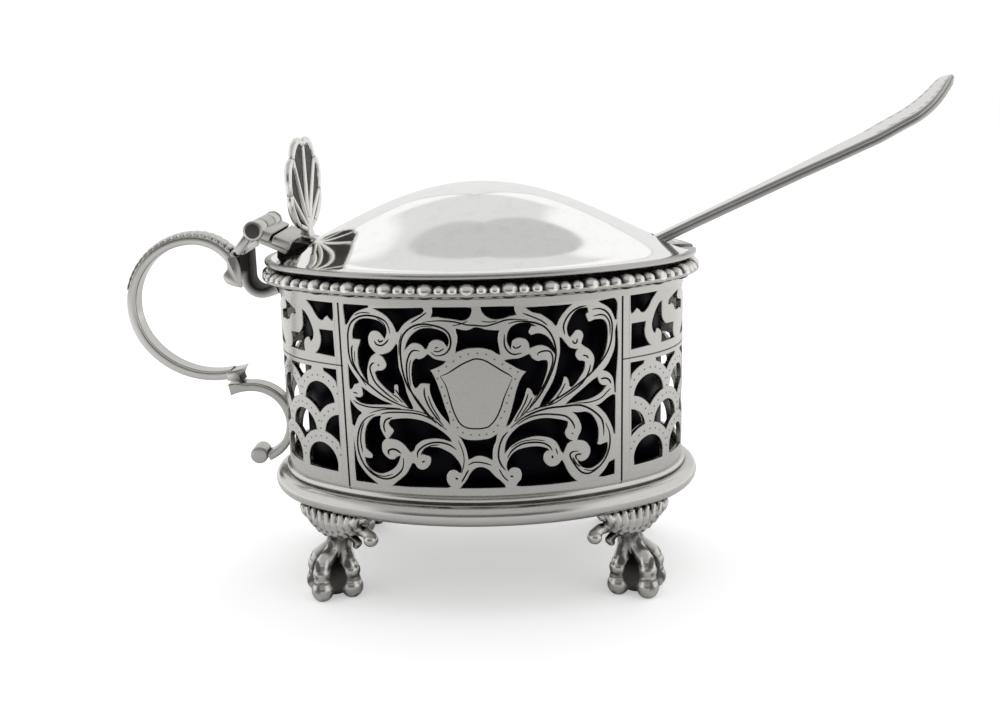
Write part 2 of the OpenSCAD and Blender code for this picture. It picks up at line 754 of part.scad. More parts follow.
// Closed solid under a dome, as rings of points from its edge to its crown
module dome_solid(edge_share, rise) {
    points = concat(
        [for (ring = [0:dome_rings - 1], i = [0:dome_steps - 1])
            dome_point(i, edge_share * (1 - ring / dome_rings), edge_share, rise)],
        [[0, 0, lid_top + rise]]
    );
    crown = dome_rings * dome_steps;
    faces = concat(
        [[for (i = [0:dome_steps - 1]) i]],
        [for (ring = [0:dome_rings - 2], i = [0:dome_steps - 1])
            let (a = ring * dome_steps + i, b = ring * dome_steps + (i + 1) % dome_steps)
            each [[a, a + dome_steps, b], [b, a + dome_steps, b + dome_steps]]],
        [for (i = [0:dome_steps - 1])
            let (a = (dome_rings - 1) * dome_steps)
            [a + i, crown, a + (i + 1) % dome_steps]]
    );
    polyhedron(points, faces);
}

// Height of the dome's outside over a point of the lid's long axis
function dome_z(x) =
    lid_top + dome_rise * max(0, 1 - (x / (wall_half_length + dome_reach)) ^ 2) ^ 1.5;

// Slot for the spoon's stem, through the lid's edge
module stem_slot() {
    translate([wall_half_length - 7, -slot_half, lid_under - 1]) cube([big, 2 * slot_half, dome_rise + 4]);
}

// Flat band that stiffens the lid's edge
module lid_edge_band() {
    color(silver)
        difference() {
            oval_sweep() translate([lid_reach - lid_band, lid_under]) square([lid_band, lid_edge]);
            stem_slot();
        }
}

// Raised dome, with the three-cornered notch for the spoon
module lid_dome() {
    edge_share = 1 - 1.5 / (wall_half_length + dome_reach);
    notch_run = 4;
    color(polished)
        difference() {
            dome_solid(1, dome_rise);
            translate([0, 0, -0.01]) dome_solid(edge_share, dome_rise - dome_thickness);
            translate([wall_half_length - notch_depth, 0, lid_top - 1])
                linear_extrude(dome_rise)
                    polygon([[0, -notch_half], [notch_run, -notch_mouth], [big, -notch_mouth],
                             [big, notch_mouth], [notch_run, notch_mouth], [0, notch_half]]);
        }
}

leaf_end = -wall_half_length + 4.3;
leaf_slope = 12;

// Leaf with the lid's knuckle, grooved across
module hinge_leaf() {
    length = leaf_end - hinge_x;
    start = knuckle_radius + 0.3;
    tongue_start = bore_radius - 0.1;
    tongue_width = middle_knuckle - 0.4;
    color(silver)
        difference() {
            union() {
                across(middle_knuckle) translate([hinge_x, hinge_z]) circle(knuckle_radius);
                translate([hinge_x, 0, hinge_z - 1]) rotate([0, leaf_slope, 0]) {
                    translate([start, -barrel_length / 2 + 0.5, -leaf_thickness / 2])
                        cube([length - start, barrel_length - 1, leaf_thickness]);
                    translate([tongue_start, -tongue_width / 2, -0.1]) cube([start, tongue_width, 0.6]);
                    translate([start + 2.6, -barrel_length / 2 + 0.5, leaf_thickness / 2 - 0.5])
                        cube([length - start - 2.6, barrel_length - 1, 0.9]);
                }
            }
            translate([hinge_x, 0, hinge_z])
                rotate([90, 0, 0]) cylinder(big, bore_radius, bore_radius, center = true);
            translate([hinge_x, 0, hinge_z - 1]) rotate([0, leaf_slope, 0])
                translate([start + 2, -big / 2, leaf_thickness / 2 - 0.4]) cube([0.6, big, big]);
            translate([leaf_end, -big / 2, 0]) cube([big, big, big]);
        }
}

// Web between the leaf and the end of the lid
module hinge_web() {
    color(darkened)
        difference() {
            across(strap_width)
                polygon([
                    [-wall_half_length - dome_reach + 0.2, lid_top], [leaf_end - 0.2, lid_top],
                    [leaf_end - 0.2, hinge_z], [-wall_half_length + 0.4, hinge_z]
                ]);
            dome_solid(1, dome_rise);
            translate([hinge_x, 0, hinge_z - 1]) rotate([0, leaf_slope, 0])
                translate([-big / 2, -big / 2, -leaf_thickness / 2]) cube([big, big, big]);
        }
}

// Fan shell that the thumb presses, on its foot at the end of the leaf
module thumbpiece() {
    root_z = dome_z(leaf_end + 0.6) + 2.5;
    reach = lid_top + shell_height - root_z;
    tip = reach * sin(shell_spread / (shell_lobes - 1) / 2) * 0.92;
    color(silver)
        difference() {
            translate([leaf_end, 0, 0]) rotate([90, 0, 90]) {
                linear_extrude(shell_thickness)
                    for (i = [0:shell_lobes - 1]) {
                        turn = shell_spread * (i / (shell_lobes - 1) - 0.5);
                        translate([0, root_z]) rotate(turn) {
                            polygon([[-0.9, 0], [0.9, 0], [tip, reach - tip], [-tip, reach - tip]]);
                            translate([0, reach - tip]) circle(tip, $fn = 32);
                        }
                    }
                linear_extrude(shell_thickness)
                    translate([-2.2, lid_top]) square([4.4, root_z + 1 - lid_top]);
            }
            dome_solid(1, dome_rise);
        }
}

// Spoon

stem_x = wall_half_length - 2;
stem_z = dome_z(stem_x) + 1.3;
bowl_depth = 5.2;

// Spoon drawn along its own stem, with the origin where the stem passes the slot
module spoon() {
    bend = 38;
    bowl_z = floor_z + liner_wall + spoon_gap;
    bowl_x = -15;
    lip = sqrt(bowl_radius ^ 2 - (bowl_radius - bowl_depth) ^ 2);
    elbow = [bowl_x + lip + 4, stem_z - (stem_x - bowl_x - lip - 4) * tan(stem_slope)];
    color(polished) {
        translate([stem_x, 0, stem_z]) rotate([0, -stem_slope, 0]) {
            inside = (stem_x - elbow.x) / cos(stem_slope);
            translate([0, 0, -stem_thickness / 2]) linear_extrude(stem_thickness)
                polygon([
                    [-inside - 0.3, -stem_half], [4, -stem_half], [stem_outside, -tip_half * 0.72],
                    [stem_outside, tip_half * 0.72], [4, stem_half], [-inside - 0.3, stem_half]
                ]);
            tip_bend = 16.8;
            translate([stem_outside, 0, tip_bend])
                intersection() {
                    across(2 * tip_half)
                        arc_band([0, 0], tip_bend, [[0, -1], [0.5, -1], [0.656, -0.755]], stem_thickness);
                    linear_extrude(big, center = true) {
                        translate([tip_bend * 0.48, 0]) circle(tip_half);
                        translate([-1, -tip_half * 0.72]) square([tip_bend * 0.48, 2 * tip_half * 0.72]);
                    }
                }
        }
        across(2 * stem_half)
            polygon([
                elbow + [0.2, stem_thickness / 2], elbow + [0.6, -stem_thickness / 2],
                [bowl_x + lip - 0.7, bowl_z + bowl_depth - 1.6], [bowl_x + lip - 1, bowl_z + bowl_depth]
            ]);
        translate([bowl_x, 0, bowl_z])
            intersection() {
                difference() {
                    translate([0, 0, bowl_radius]) sphere(bowl_radius);
                    translate([0, 0, bowl_radius]) sphere(bowl_radius - 0.8);
                }
                translate([-big / 2, -big / 2, 0]) cube([big, big, bowl_depth]);
            }
    }
}

base_moulding();
bottom_plate();
pierced_wall();
rim_moulding();
rim_beading();
glass_liner();
foot_front_left();
foot_front_right();
foot_back_left();
foot_back_right();
handle_scroll();
handle_tail();
handle_bracket();
hinge_pin();
lid_edge_band();
lid_dome();
hinge_leaf();
hinge_web();
thumbpiece();
spoon();
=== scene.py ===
import math

import bpy
from mathutils import Matrix, Vector, noise
from mathutils.kdtree import KDTree


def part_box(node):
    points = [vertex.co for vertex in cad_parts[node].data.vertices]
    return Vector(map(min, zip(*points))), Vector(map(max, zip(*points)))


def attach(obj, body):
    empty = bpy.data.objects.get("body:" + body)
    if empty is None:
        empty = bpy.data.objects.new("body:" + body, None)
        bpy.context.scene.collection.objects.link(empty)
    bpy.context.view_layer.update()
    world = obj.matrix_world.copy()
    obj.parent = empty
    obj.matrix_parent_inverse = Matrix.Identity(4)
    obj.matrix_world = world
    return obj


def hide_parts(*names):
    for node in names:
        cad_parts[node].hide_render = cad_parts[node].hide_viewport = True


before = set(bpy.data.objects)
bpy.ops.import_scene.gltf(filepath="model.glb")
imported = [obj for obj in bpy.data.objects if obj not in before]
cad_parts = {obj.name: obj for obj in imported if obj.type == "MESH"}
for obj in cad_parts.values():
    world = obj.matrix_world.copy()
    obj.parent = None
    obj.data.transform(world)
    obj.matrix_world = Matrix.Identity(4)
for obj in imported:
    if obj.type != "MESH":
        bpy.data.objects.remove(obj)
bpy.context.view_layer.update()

# Base moulding.
# Rolled silver strip bent round the oval and soldered to the foot of the wall, with a flat ring
# inside that the wall stands on. Its big roll is polished and its quirks are dark with old polish.

mm = 0.001
half_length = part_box("pierced_wall")[1][0]
half_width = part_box("pierced_wall")[1][1]
centre_gap = (half_length - half_width) / 0.4
end_centre, side_centre = 0.6 * centre_gap, 0.8 * centre_gap
end_radius = half_length - end_centre
side_radius = end_radius + centre_gap
side_turn = math.atan2(0.6, 0.8)
side_length = side_radius * side_turn
quarter = side_length + end_radius * (math.pi / 2 - side_turn)


def on_oval(u, out, z):
    """Place at u along the wall from the front middle, out from the wall's face and z high."""
    v, right, front = u % (4 * quarter), 1, 1
    if v > 2 * quarter:
        v, right = 4 * quarter - v, -1
    if v > quarter:
        v, front = 2 * quarter - v, -1
    if v < side_length:
        turn, across, back, radius = v / side_radius, 0, side_centre, side_radius
    else:
        turn, across, back, radius = side_turn + (v - side_length) / end_radius, end_centre, 0, end_radius
    x = across + (radius + out) * math.sin(turn)
    y = back - (radius + out) * math.cos(turn)
    return Vector((right * x, front * y, z))


def draw_line(name, points, closed):
    """Draw a line of vertices by hand, point after point, and close it if asked."""
    bpy.ops.object.select_all(action="DESELECT")
    bpy.ops.mesh.primitive_plane_add(size=mm)
    drawn = bpy.context.object
    drawn.name = name
    bpy.ops.object.mode_set(mode="EDIT")
    bpy.ops.mesh.merge(type="CENTER")
    bpy.ops.transform.translate(value=points[0])
    for here, there in zip(points, points[1:]):
        bpy.ops.mesh.extrude_vertices_move(TRANSFORM_OT_translate={"value": there - here})
    if closed:
        bpy.ops.mesh.select_all(action="SELECT")
        bpy.ops.mesh.edge_face_add()
        bpy.ops.mesh.delete(type="ONLY_FACE")
    bpy.ops.mesh.select_all(action="SELECT")
    return drawn


def face_outwards():
    """Turn the faces of what is being edited outwards and leave it finished."""
    bpy.ops.mesh.select_all(action="SELECT")
    bpy.ops.mesh.normals_make_consistent(inside=False)
    bpy.ops.object.mode_set(mode="OBJECT")


def spin_round_oval():
    """Spin what is drawn across the front middle round the oval's arcs, back to where it began."""
    end_turn = math.pi - 2 * side_turn
    for centre, turn, steps in (
        ((0, side_centre, 0), side_turn, 24),
        ((end_centre, 0, 0), end_turn, 56),
        ((0, -side_centre, 0), 2 * side_turn, 48),
        ((-end_centre, 0, 0), end_turn, 56),
        ((0, side_centre, 0), side_turn, 24),
    ):
        bpy.ops.mesh.spin(steps=steps, angle=-turn, center=centre, axis=(0, 0, 1))
    bpy.ops.mesh.select_all(action="SELECT")
    bpy.ops.mesh.remove_doubles(threshold=0.002 * mm)
    face_outwards()


def strip_round_oval(name, section, crease=35):
    """Strip of a closed section, given as out and height in millimetres, bent round the oval."""
    strip = draw_line(name, [Vector((0, -half_width - out * mm, z * mm)) for out, z in section], True)
    spin_round_oval()
    bpy.ops.object.shade_smooth_by_angle(angle=math.radians(crease))
    return strip


def bow(centre, radius, start, end, steps):
    """Points of an arc in a section, from one angle to another in degrees."""
    turns = [math.radians(start + (end - start) * i / steps) for i in range(steps + 1)]
    return [(centre[0] + radius * math.cos(t), centre[1] + radius * math.sin(t)) for t in turns]


# Each piece below gets its own base colour, bright, from 0.46 to 0.955: lighter and darker copies of one
# silver, partly real tarnish and partly painted light and shade.
def silver(name, bright, rough, grime, deep, grain=(1, 1, 1), scratch=0.06):
    """Silver that keeps black oxide in its recesses and fine scratches from polishing on its face."""
    made = bpy.data.materials.new(name)
    made.use_nodes = True
    nodes, links = made.node_tree.nodes, made.node_tree.links
    shader = nodes["Principled BSDF"]
    shader.inputs["Metallic"].default_value = 1

    def add(kind, **inputs):
        node = nodes.new(kind)
        for key, value in inputs.items():
            node.inputs[key.replace("_", " ")].default_value = value
        return node

    place = nodes.new("ShaderNodeTexCoord")
    along = add("ShaderNodeMapping", Scale=grain)
    links.new(place.outputs["Object"], along.inputs["Vector"])
    fine = add("ShaderNodeTexNoise", Scale=2600.0, Detail=4.0, Roughness=0.6)
    links.new(along.outputs["Vector"], fine.inputs["Vector"])
    cloud = add("ShaderNodeTexNoise", Scale=420.0, Detail=5.0, Roughness=0.65)
    links.new(along.outputs["Vector"], cloud.inputs["Vector"])

    nook = add("ShaderNodeAmbientOcclusion", Distance=deep)
    nook.only_local = True
    nook.samples = 8
    depth = add("ShaderNodeMapRange", From_Min=0.86, From_Max=0.38, To_Min=0.0, To_Max=grime)
    links.new(nook.outputs["AO"], depth.inputs["Value"])
    patchy = add("ShaderNodeMapRange", From_Min=0.3, From_Max=0.62, To_Min=0.55, To_Max=1.25)
    links.new(cloud.outputs["Fac"], patchy.inputs["Value"])
    oxide = nodes.new("ShaderNodeMath")
    oxide.operation = "MULTIPLY"
    links.new(depth.outputs["Result"], oxide.inputs[0])
    links.new(patchy.outputs["Result"], oxide.inputs[1])
    # The layer read here darkens each vertex: real tarnish, cut lines and marks on some pieces, painted
    # shade on others.
    darkened = nodes.new("ShaderNodeAttribute")
    darkened.attribute_name = "tarnish_and_painted_shade"
    black = nodes.new("ShaderNodeMath")
    black.operation = "MAXIMUM"
    black.use_clamp = True
    links.new(oxide.outputs["Value"], black.inputs[0])
    links.new(darkened.outputs["Fac"], black.inputs[1])

    worn = nodes.new("ShaderNodeMix")
    worn.data_type = "RGBA"
    worn.inputs["A"].default_value = (*[0.86 * c for c in bright], 1)
    worn.inputs["B"].default_value = (*bright, 1)
    links.new(patchy.outputs["Result"], worn.inputs["Factor"])
    colour = nodes.new("ShaderNodeMix")
    colour.data_type = "RGBA"
    colour.inputs["B"].default_value = (0.012, 0.011, 0.009, 1)
    links.new(black.outputs["Value"], colour.inputs["Factor"])
    links.new(worn.outputs["Result"], colour.inputs["A"])
    links.new(colour.outputs["Result"], shader.inputs["Base Color"])

    sheen = add("ShaderNodeMapRange", From_Min=0.3, From_Max=0.7, To_Min=0.75 * rough, To_Max=1.3 * rough)
    links.new(cloud.outputs["Fac"], sheen.inputs["Value"])
    dull = nodes.new("ShaderNodeMix")
    dull.inputs["B"].default_value = 0.6
    links.new(black.outputs["Value"], dull.inputs["Factor"])
    links.new(sheen.outputs["Result"], dull.inputs["A"])
    links.new(dull.outputs["Result"], shader.inputs["Roughness"])

    marks = add("ShaderNodeBump", Strength=scratch, Distance=0.05 * mm)
    links.new(fine.outputs["Fac"], marks.inputs["Height"])
    links.new(marks.outputs["Normal"], shader.inputs["Normal"])
    return made


def fit(piece, finish, body, slot, *nodes):
    """Give a finished piece its metal and fix it to its body in place of the plain CAD nodes."""
    piece.data.materials.clear()
    piece.data.materials.append(finish)
    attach(piece, body)
    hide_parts(*nodes)


def tarnish_and_shade_of(piece):
    """New layer on a piece that says how dark each vertex is, from 0 to 1: real tarnish and marks on some
    pieces, painted shade on others.
    """
    return piece.data.attributes.new("tarnish_and_painted_shade", "FLOAT", "POINT").data


base_low, base_high = (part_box("base_moulding")[i][2] / mm for i in (0, 1))
base_strip = strip_round_oval(
    "base_strip",
    [(-6, base_low), (1.2, base_low), (1.5, base_low + 0.1)]
    + bow((0.9, base_low + 1.72), 1.64, -58, 84, 24)
    + [(0.8, base_low + 3.38), (0.5, base_low + 3.46), (0.46, base_low + 3.56), (0.5, base_low + 3.68)]
    + [(0.6, base_low + 3.72), (0.6, base_high - 0.3), (0.5, base_high - 0.1), (0.2, base_high),
       (0, base_high)]
    + [(0, base_low + 0.6), (-6, base_low + 0.6)],
)
quirk_low, quirk_high = base_low + 3.44, base_low + 3.66
grime = tarnish_and_shade_of(base_strip)
for vertex in base_strip.data.vertices:
    grime[vertex.index].value = 0.75 if quirk_low < vertex.co.z / mm < quirk_high else 0
rolled_silver = silver("rolled_silver", (0.60, 0.588, 0.562), 0.19, 0.9, 0.8 * mm, (1, 1, 6))
fit(base_strip, rolled_silver, "pot", "polished_silver", "base_moulding")

# Bottom plate.
# Flat sheet that closes the bottom inside the base ring and carries the glass liner. It can't be
# seen from outside, so the plain plate stays and takes a dull, unpolished finish.

dull_sheet = silver("dull_sheet", (0.52, 0.51, 0.48), 0.38, 0.8, 1 * mm)
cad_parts["bottom_plate"].data.materials.clear()
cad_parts["bottom_plate"].data.materials.append(dull_sheet)

# Claw-and-ball feet.
# Cast silver: four toes of two joints close round a ball painted dark as shade, sinews that run up
# into one ankle, a ribbed leaf on the knee and curls at its sides, soldered under the base. One is modelled
# and copied.


def lump(at, size):
    """One rounded lump of the wax that the foot was cast from, in millimetres."""
    bpy.ops.mesh.primitive_uv_sphere_add(
        segments=22, ring_count=12, radius=mm, location=Vector(at) * mm, scale=size
    )
    wax.append(bpy.context.object)


def roll_of_wax(places, thick, thin, steps=6):
    """Rounded roll through a few places, from one radius to another."""
    runs = len(places) - 1
    for run in range(runs):
        here, there = Vector(places[run]), Vector(places[run + 1])
        for i in range(steps + (run == runs - 1)):
            share = (run + i / steps) / runs
            radius = thick + (thin - thick) * share
            lump(here.lerp(there, i / steps), (radius, radius, radius))


def solder(name, pieces):
    """Join pieces that are cast or soldered together."""
    bpy.ops.object.select_all(action="DESELECT")
    for piece in pieces:
        piece.select_set(True)
    bpy.context.view_layer.objects.active = pieces[0]
    bpy.ops.object.join()
    pieces[0].name = name
    return pieces[0]


wax = []
ball_middle = Vector((0, 0, 3.4))
lump(ball_middle, (3.75, 3.75, 3.6))
claw_turn = math.radians(-10)
ankle = Vector((-0.4, 1.5, 0))
punch_marks = []
for toe in range(4):
    way = claw_turn + toe * math.pi / 2
    out = Vector((math.sin(way), -math.cos(way), 0))
    lump(out * 3.45 + Vector((0, 0, 1.65)), (1.85, 1.85, 1.9))
    lump(out * 3.4 + Vector((0, 0, 3.05)), (1.5, 1.5, 1.1))
    lump(out * 3.45 + Vector((0, 0, 4.5)), (1.5, 1.5, 1.5))
    lump(out * 3.05 + Vector((0, 0, 5.5)), (1.42, 1.42, 1.4))
    roll_of_wax([out * 2.8 + Vector((0, 0, 6.0)), out * 1.35 + ankle * 0.6 + Vector((0, 0, 7.7)),
                 out * 0.85 + ankle + Vector((0, 0, 9.6))], 1.36, 1.1)
    punch_marks += [out * 5.32 + Vector((0, 0, 2.1)), out * 4.85 + Vector((0, 0, 4.3))]
roll_of_wax([ankle * 0.6 + Vector((0, 0, 6.8)), ankle + Vector((0, 0, 9.2)), ankle + Vector((0, -0.6, 12))],
            1.5, 1.95)
roll_of_wax([Vector((-0.6, 0.9, 12)), Vector((-1, 0.5, 14.4))], 2.1, 2.6, 4)
for k in range(9):
    fan = (k - 4) / 4
    x, drop = -1.3 + 5.2 * fan, 3.7 - 1.9 * fan * fan
    bend_in = x * x / 2 / (21 if x > 0 else 40)
    top = Vector((x + 0.7 * fan, -2.1 + bend_in, 14.7))
    foot = Vector((x - 0.35 * fan, -1.55 + bend_in, 15.0 - drop))
    roll_of_wax([top, (top + foot) / 2 + Vector((0, -0.3, 0)), foot], 0.56, 0.8, 5)
    lump(foot + Vector((0.1 * fan, 0.55, -0.6)), (0.85, 0.9, 0.62))
    lump((x, -0.4 + bend_in, 15 - 0.45 * drop), (1.3, 1.5, 0.45 * drop + 0.2))
    punch_marks += [foot + Vector((0, -0.8, 0.35)), foot + Vector((0.1 * fan, -0.3, -0.75))]
    if k < 8:
        punch_marks += [top.lerp(foot, s) + Vector((0.62, -0.25, 0)) for s in (0.35, 0.5, 0.65, 0.8)]
roll_of_wax([(-2.6, 0.9, 11.2), (-5.2, 0.4, 11.9), (-7.4, 0.3, 12.0), (-8.6, 0.3, 11.4)], 0.8, 0.95)
lump((-8.6, 0.2, 11.0), (1.15, 1.3, 1.15))
roll_of_wax([(-2.2, 1.0, 10.5), (-4.2, 0.6, 10.4), (-5.4, 0.5, 9.7), (-5.0, 0.4, 9.2)], 0.8, 0.62)
roll_of_wax([(2.0, 1.2, 12.6), (4.9, 1.1, 13.7), (6.3, 1.0, 13.8), (6.5, 1.0, 13.2)], 0.8, 0.62)
roll_of_wax([(1.8, 1.2, 11.4), (3.9, 1.0, 11.3), (4.4, 1.0, 10.7)], 0.7, 0.55)
claw = solder("claw", wax)
bpy.ops.object.transform_apply(location=True, rotation=True, scale=True)
melt = claw.modifiers.new("melt", "REMESH")
melt.mode = "VOXEL"
melt.voxel_size = 0.17 * mm
bpy.ops.object.modifier_apply(modifier="melt")
ease = claw.modifiers.new("ease", "SMOOTH")
ease.factor = 0.5
ease.iterations = 3
bpy.ops.object.modifier_apply(modifier="ease")
bpy.ops.object.mode_set(mode="EDIT")
bpy.ops.mesh.select_all(action="SELECT")
bpy.ops.mesh.bisect(plane_co=(0, 0, base_low * mm), plane_no=(0, 0, 1), use_fill=True, clear_outer=True)
bpy.ops.mesh.select_all(action="SELECT")
bpy.ops.mesh.bisect(plane_co=(0, 0, 0), plane_no=(0, 0, -1), use_fill=True, clear_outer=True)
bpy.ops.object.mode_set(mode="OBJECT")
bpy.ops.object.shade_smooth()
marks = KDTree(len(punch_marks))
for i, mark in enumerate(punch_marks):
    marks.insert(mark * mm, i)
marks.balance()
pits_patina_and_painted_shade = tarnish_and_shade_of(claw)
# Darkness per vertex: real punch marks and random patina, with painted shade on the ball, between the
# sinews at the ankle, on the sides of the toes that face in and in a band round the toe joints.
for vertex in claw.data.vertices:
    place = vertex.co / mm
    near = marks.find(vertex.co)[2] / mm
    on_ball = min(max(4.0 - (place - ball_middle).length, 0) * 4, 1)
    from_axis = (place - ankle * min(place.z / 9, 1)).xy.length
    between_sinews = min(max(2.5 - from_axis, 0), 1) * (5.5 < place.z < 9.6)
    away = Vector((place.x, place.y, 0)).normalized()
    turned_in = min(max(0.5 - vertex.normal.dot(away), 0) * 2.2, 1) * (place.z < 10.4)
    crease = max(1 - abs(place.z - 3.2) / 0.3, 0)
    patina = min(max(noise.noise(place * 0.7) * 2.4 - 0.1, 0), 0.8) * (place.z < 10.6)
    ball_shade = on_ball * (0.72 + 0.05 * place.z)
    pits_patina_and_painted_shade[vertex.index].value = max(
        0.95 - near / 0.5, ball_shade, between_sinews * 0.9, turned_in * 0.9, crease * 0.75, patina
    )

cast_silver = silver("cast_silver", (0.62, 0.605, 0.575), 0.22, 1.7, 2.2 * mm, (1, 1, 1), 0.12)
foot_u, foot_in = 0.96 * side_length, 0.8 * mm
stand = on_oval(foot_u, -foot_in, 0)
foot_way = side_turn * foot_u / side_length
corners = (("front_right", 1, 1), ("front_left", -1, 1), ("back_right", 1, -1), ("back_left", -1, -1))
for name, right, front in corners:
    bpy.ops.object.select_all(action="DESELECT")
    claw.select_set(True)
    bpy.context.view_layer.objects.active = claw
    bpy.ops.object.duplicate()
    foot = bpy.context.object
    foot.name = "claw_" + name
    mirrored, turned = Matrix.Diagonal((right, front, 1, 1)), Matrix.Rotation(foot_way, 4, "Z")
    foot.matrix_world = mirrored @ Matrix.Translation(stand) @ turned
    bpy.ops.object.transform_apply(location=True, rotation=True, scale=True)
    if right * front < 0:
        bpy.ops.object.mode_set(mode="EDIT")
        face_outwards()
    fit(foot, cast_silver, "pot", "darkened_silver", "foot_" + name)
bpy.data.objects.remove(claw)

# Pierced wall.
# One band of sheet silver sawn through by hand: a front and a back panel of scrolls round a bare
# shield, and end panels of scales under smaller scrolls. Lines and dots are cut and punched on it.

wall_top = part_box("pierced_wall")[1][2] / mm
window_low, window_high = base_high + 1.1, wall_top - 1.9
half_round = 2 * quarter / mm


def smooth_line(points, steps=4):
    """Smooth line through a few places."""
    line = []
    for i in range(len(points) - 1):
        a, b, c, d = (Vector(points[min(max(k, 0), len(points) - 1)]) for k in (i - 1, i, i + 1, i + 2))
        for s in (k / steps for k in range(steps)):
            bent = (2 * a - 5 * b + 4 * c - d) * s**2 + (3 * b - a - 3 * c + d) * s**3
            line.append(0.5 * (2 * b + (c - a) * s + bent))
    return line + [Vector(points[-1])]


def smooth_ring(points, steps=3):
    """Smooth closed outline through places, which keeps its sharp corners."""
    ring = [Vector(p) for p in points]
    ways = []
    for i, here in enumerate(ring):
        came, goes = here - ring[i - 1], ring[(i + 1) % len(ring)] - here
        sharp = came.angle(goes, 0) > math.radians(62)
        ways.append(Vector((0, 0)) if sharp else (came + goes).normalized() * min(came.length, goes.length))
    line = []
    for i, here in enumerate(ring):
        there, way_on = ring[(i + 1) % len(ring)], ways[(i + 1) % len(ring)]
        for s in (k / steps for k in range(steps)):
            ease = s * s * (3 - 2 * s)
            line.append(here.lerp(there, ease) + ways[i] * (s * (1 - s) ** 2) - way_on * (s * s * (1 - s)))
    return line


def bend_round_wall(flat):
    """Bend a flat piece, drawn in millimetres, round the wall, and copy it to the other side."""
    for vertex in flat.data.vertices:
        u, y, out = vertex.co
        vertex.co = on_oval(u * mm, out * mm, (window_low + y) * mm)
    bpy.ops.object.mode_set(mode="EDIT")
    bpy.ops.mesh.select_all(action="SELECT")
    bpy.ops.mesh.normals_make_consistent(inside=False)
    bpy.ops.mesh.duplicate()
    bpy.ops.transform.rotate(value=math.pi, orient_axis="Z", center_override=(0, 0, 0))
    bpy.ops.object.mode_set(mode="OBJECT")
    bpy.ops.object.shade_smooth_by_angle(angle=math.radians(30))


def blank_curve(name, dimensions="2D"):
    """Curve with nothing drawn on it yet."""
    bpy.ops.object.select_all(action="DESELECT")
    bpy.ops.curve.primitive_bezier_curve_add()
    curve = bpy.context.object
    curve.name = name
    curve.data.splines.clear()
    curve.data.dimensions = dimensions
    return curve


def add_line(curve, places, radii=None, closed=False):
    """Line through places on a curve, with its own radius at each if given."""
    line = curve.data.splines.new("POLY")
    line.points.add(len(places) - 1)
    line.use_cyclic_u = closed
    for i, place in enumerate(places):
        line.points[i].co = (*Vector(place).to_3d(), 1)
        if radii:
            line.points[i].radius = radii[i]


def sweep_along(curve, section):
    """Sweep a closed section along the lines of a flat curve and turn it into a mesh."""
    outline = blank_curve("section", "3D")
    add_line(outline, section, closed=True)
    curve.data.fill_mode = "NONE"
    curve.data.bevel_mode = "OBJECT"
    curve.data.bevel_object = outline
    bpy.ops.object.select_all(action="DESELECT")
    curve.select_set(True)
    bpy.context.view_layer.objects.active = curve
    bpy.ops.object.convert(target="MESH")
    bpy.data.objects.remove(outline)


def saw_sheet(name, start, end, windows):
    """Saw windows out of a flat sheet, break its sawn edges and bend it round the wall."""
    sheet = blank_curve(name)
    sheet.data.fill_mode = "BOTH"
    sheet.data.extrude = 0.32
    sheet.data.bevel_depth = 0.08
    sheet.data.bevel_resolution = 0
    sheet.data.offset = -0.08
    for outline in [[(start, -0.6), (end, -0.6), (end, 29.6), (start, 29.6)]] + windows:
        add_line(sheet, outline, closed=True)
    bpy.ops.object.convert(target="MESH")
    bpy.ops.object.mode_set(mode="EDIT")
    bpy.ops.mesh.select_all(action="SELECT")
    bpy.ops.mesh.remove_doubles(threshold=0.0005)
    bends = round((end - start) / 0.7)
    for k in range(1, bends):
        bpy.ops.mesh.select_all(action="SELECT")
        bpy.ops.mesh.bisect(plane_co=(start + (end - start) * k / bends, 0, 0), plane_no=(1, 0, 0))
    bpy.ops.mesh.select_all(action="SELECT")
    bpy.ops.transform.translate(value=(0, 0, -0.4))
    bpy.ops.object.mode_set(mode="OBJECT")
    bend_round_wall(sheet)
    return sheet


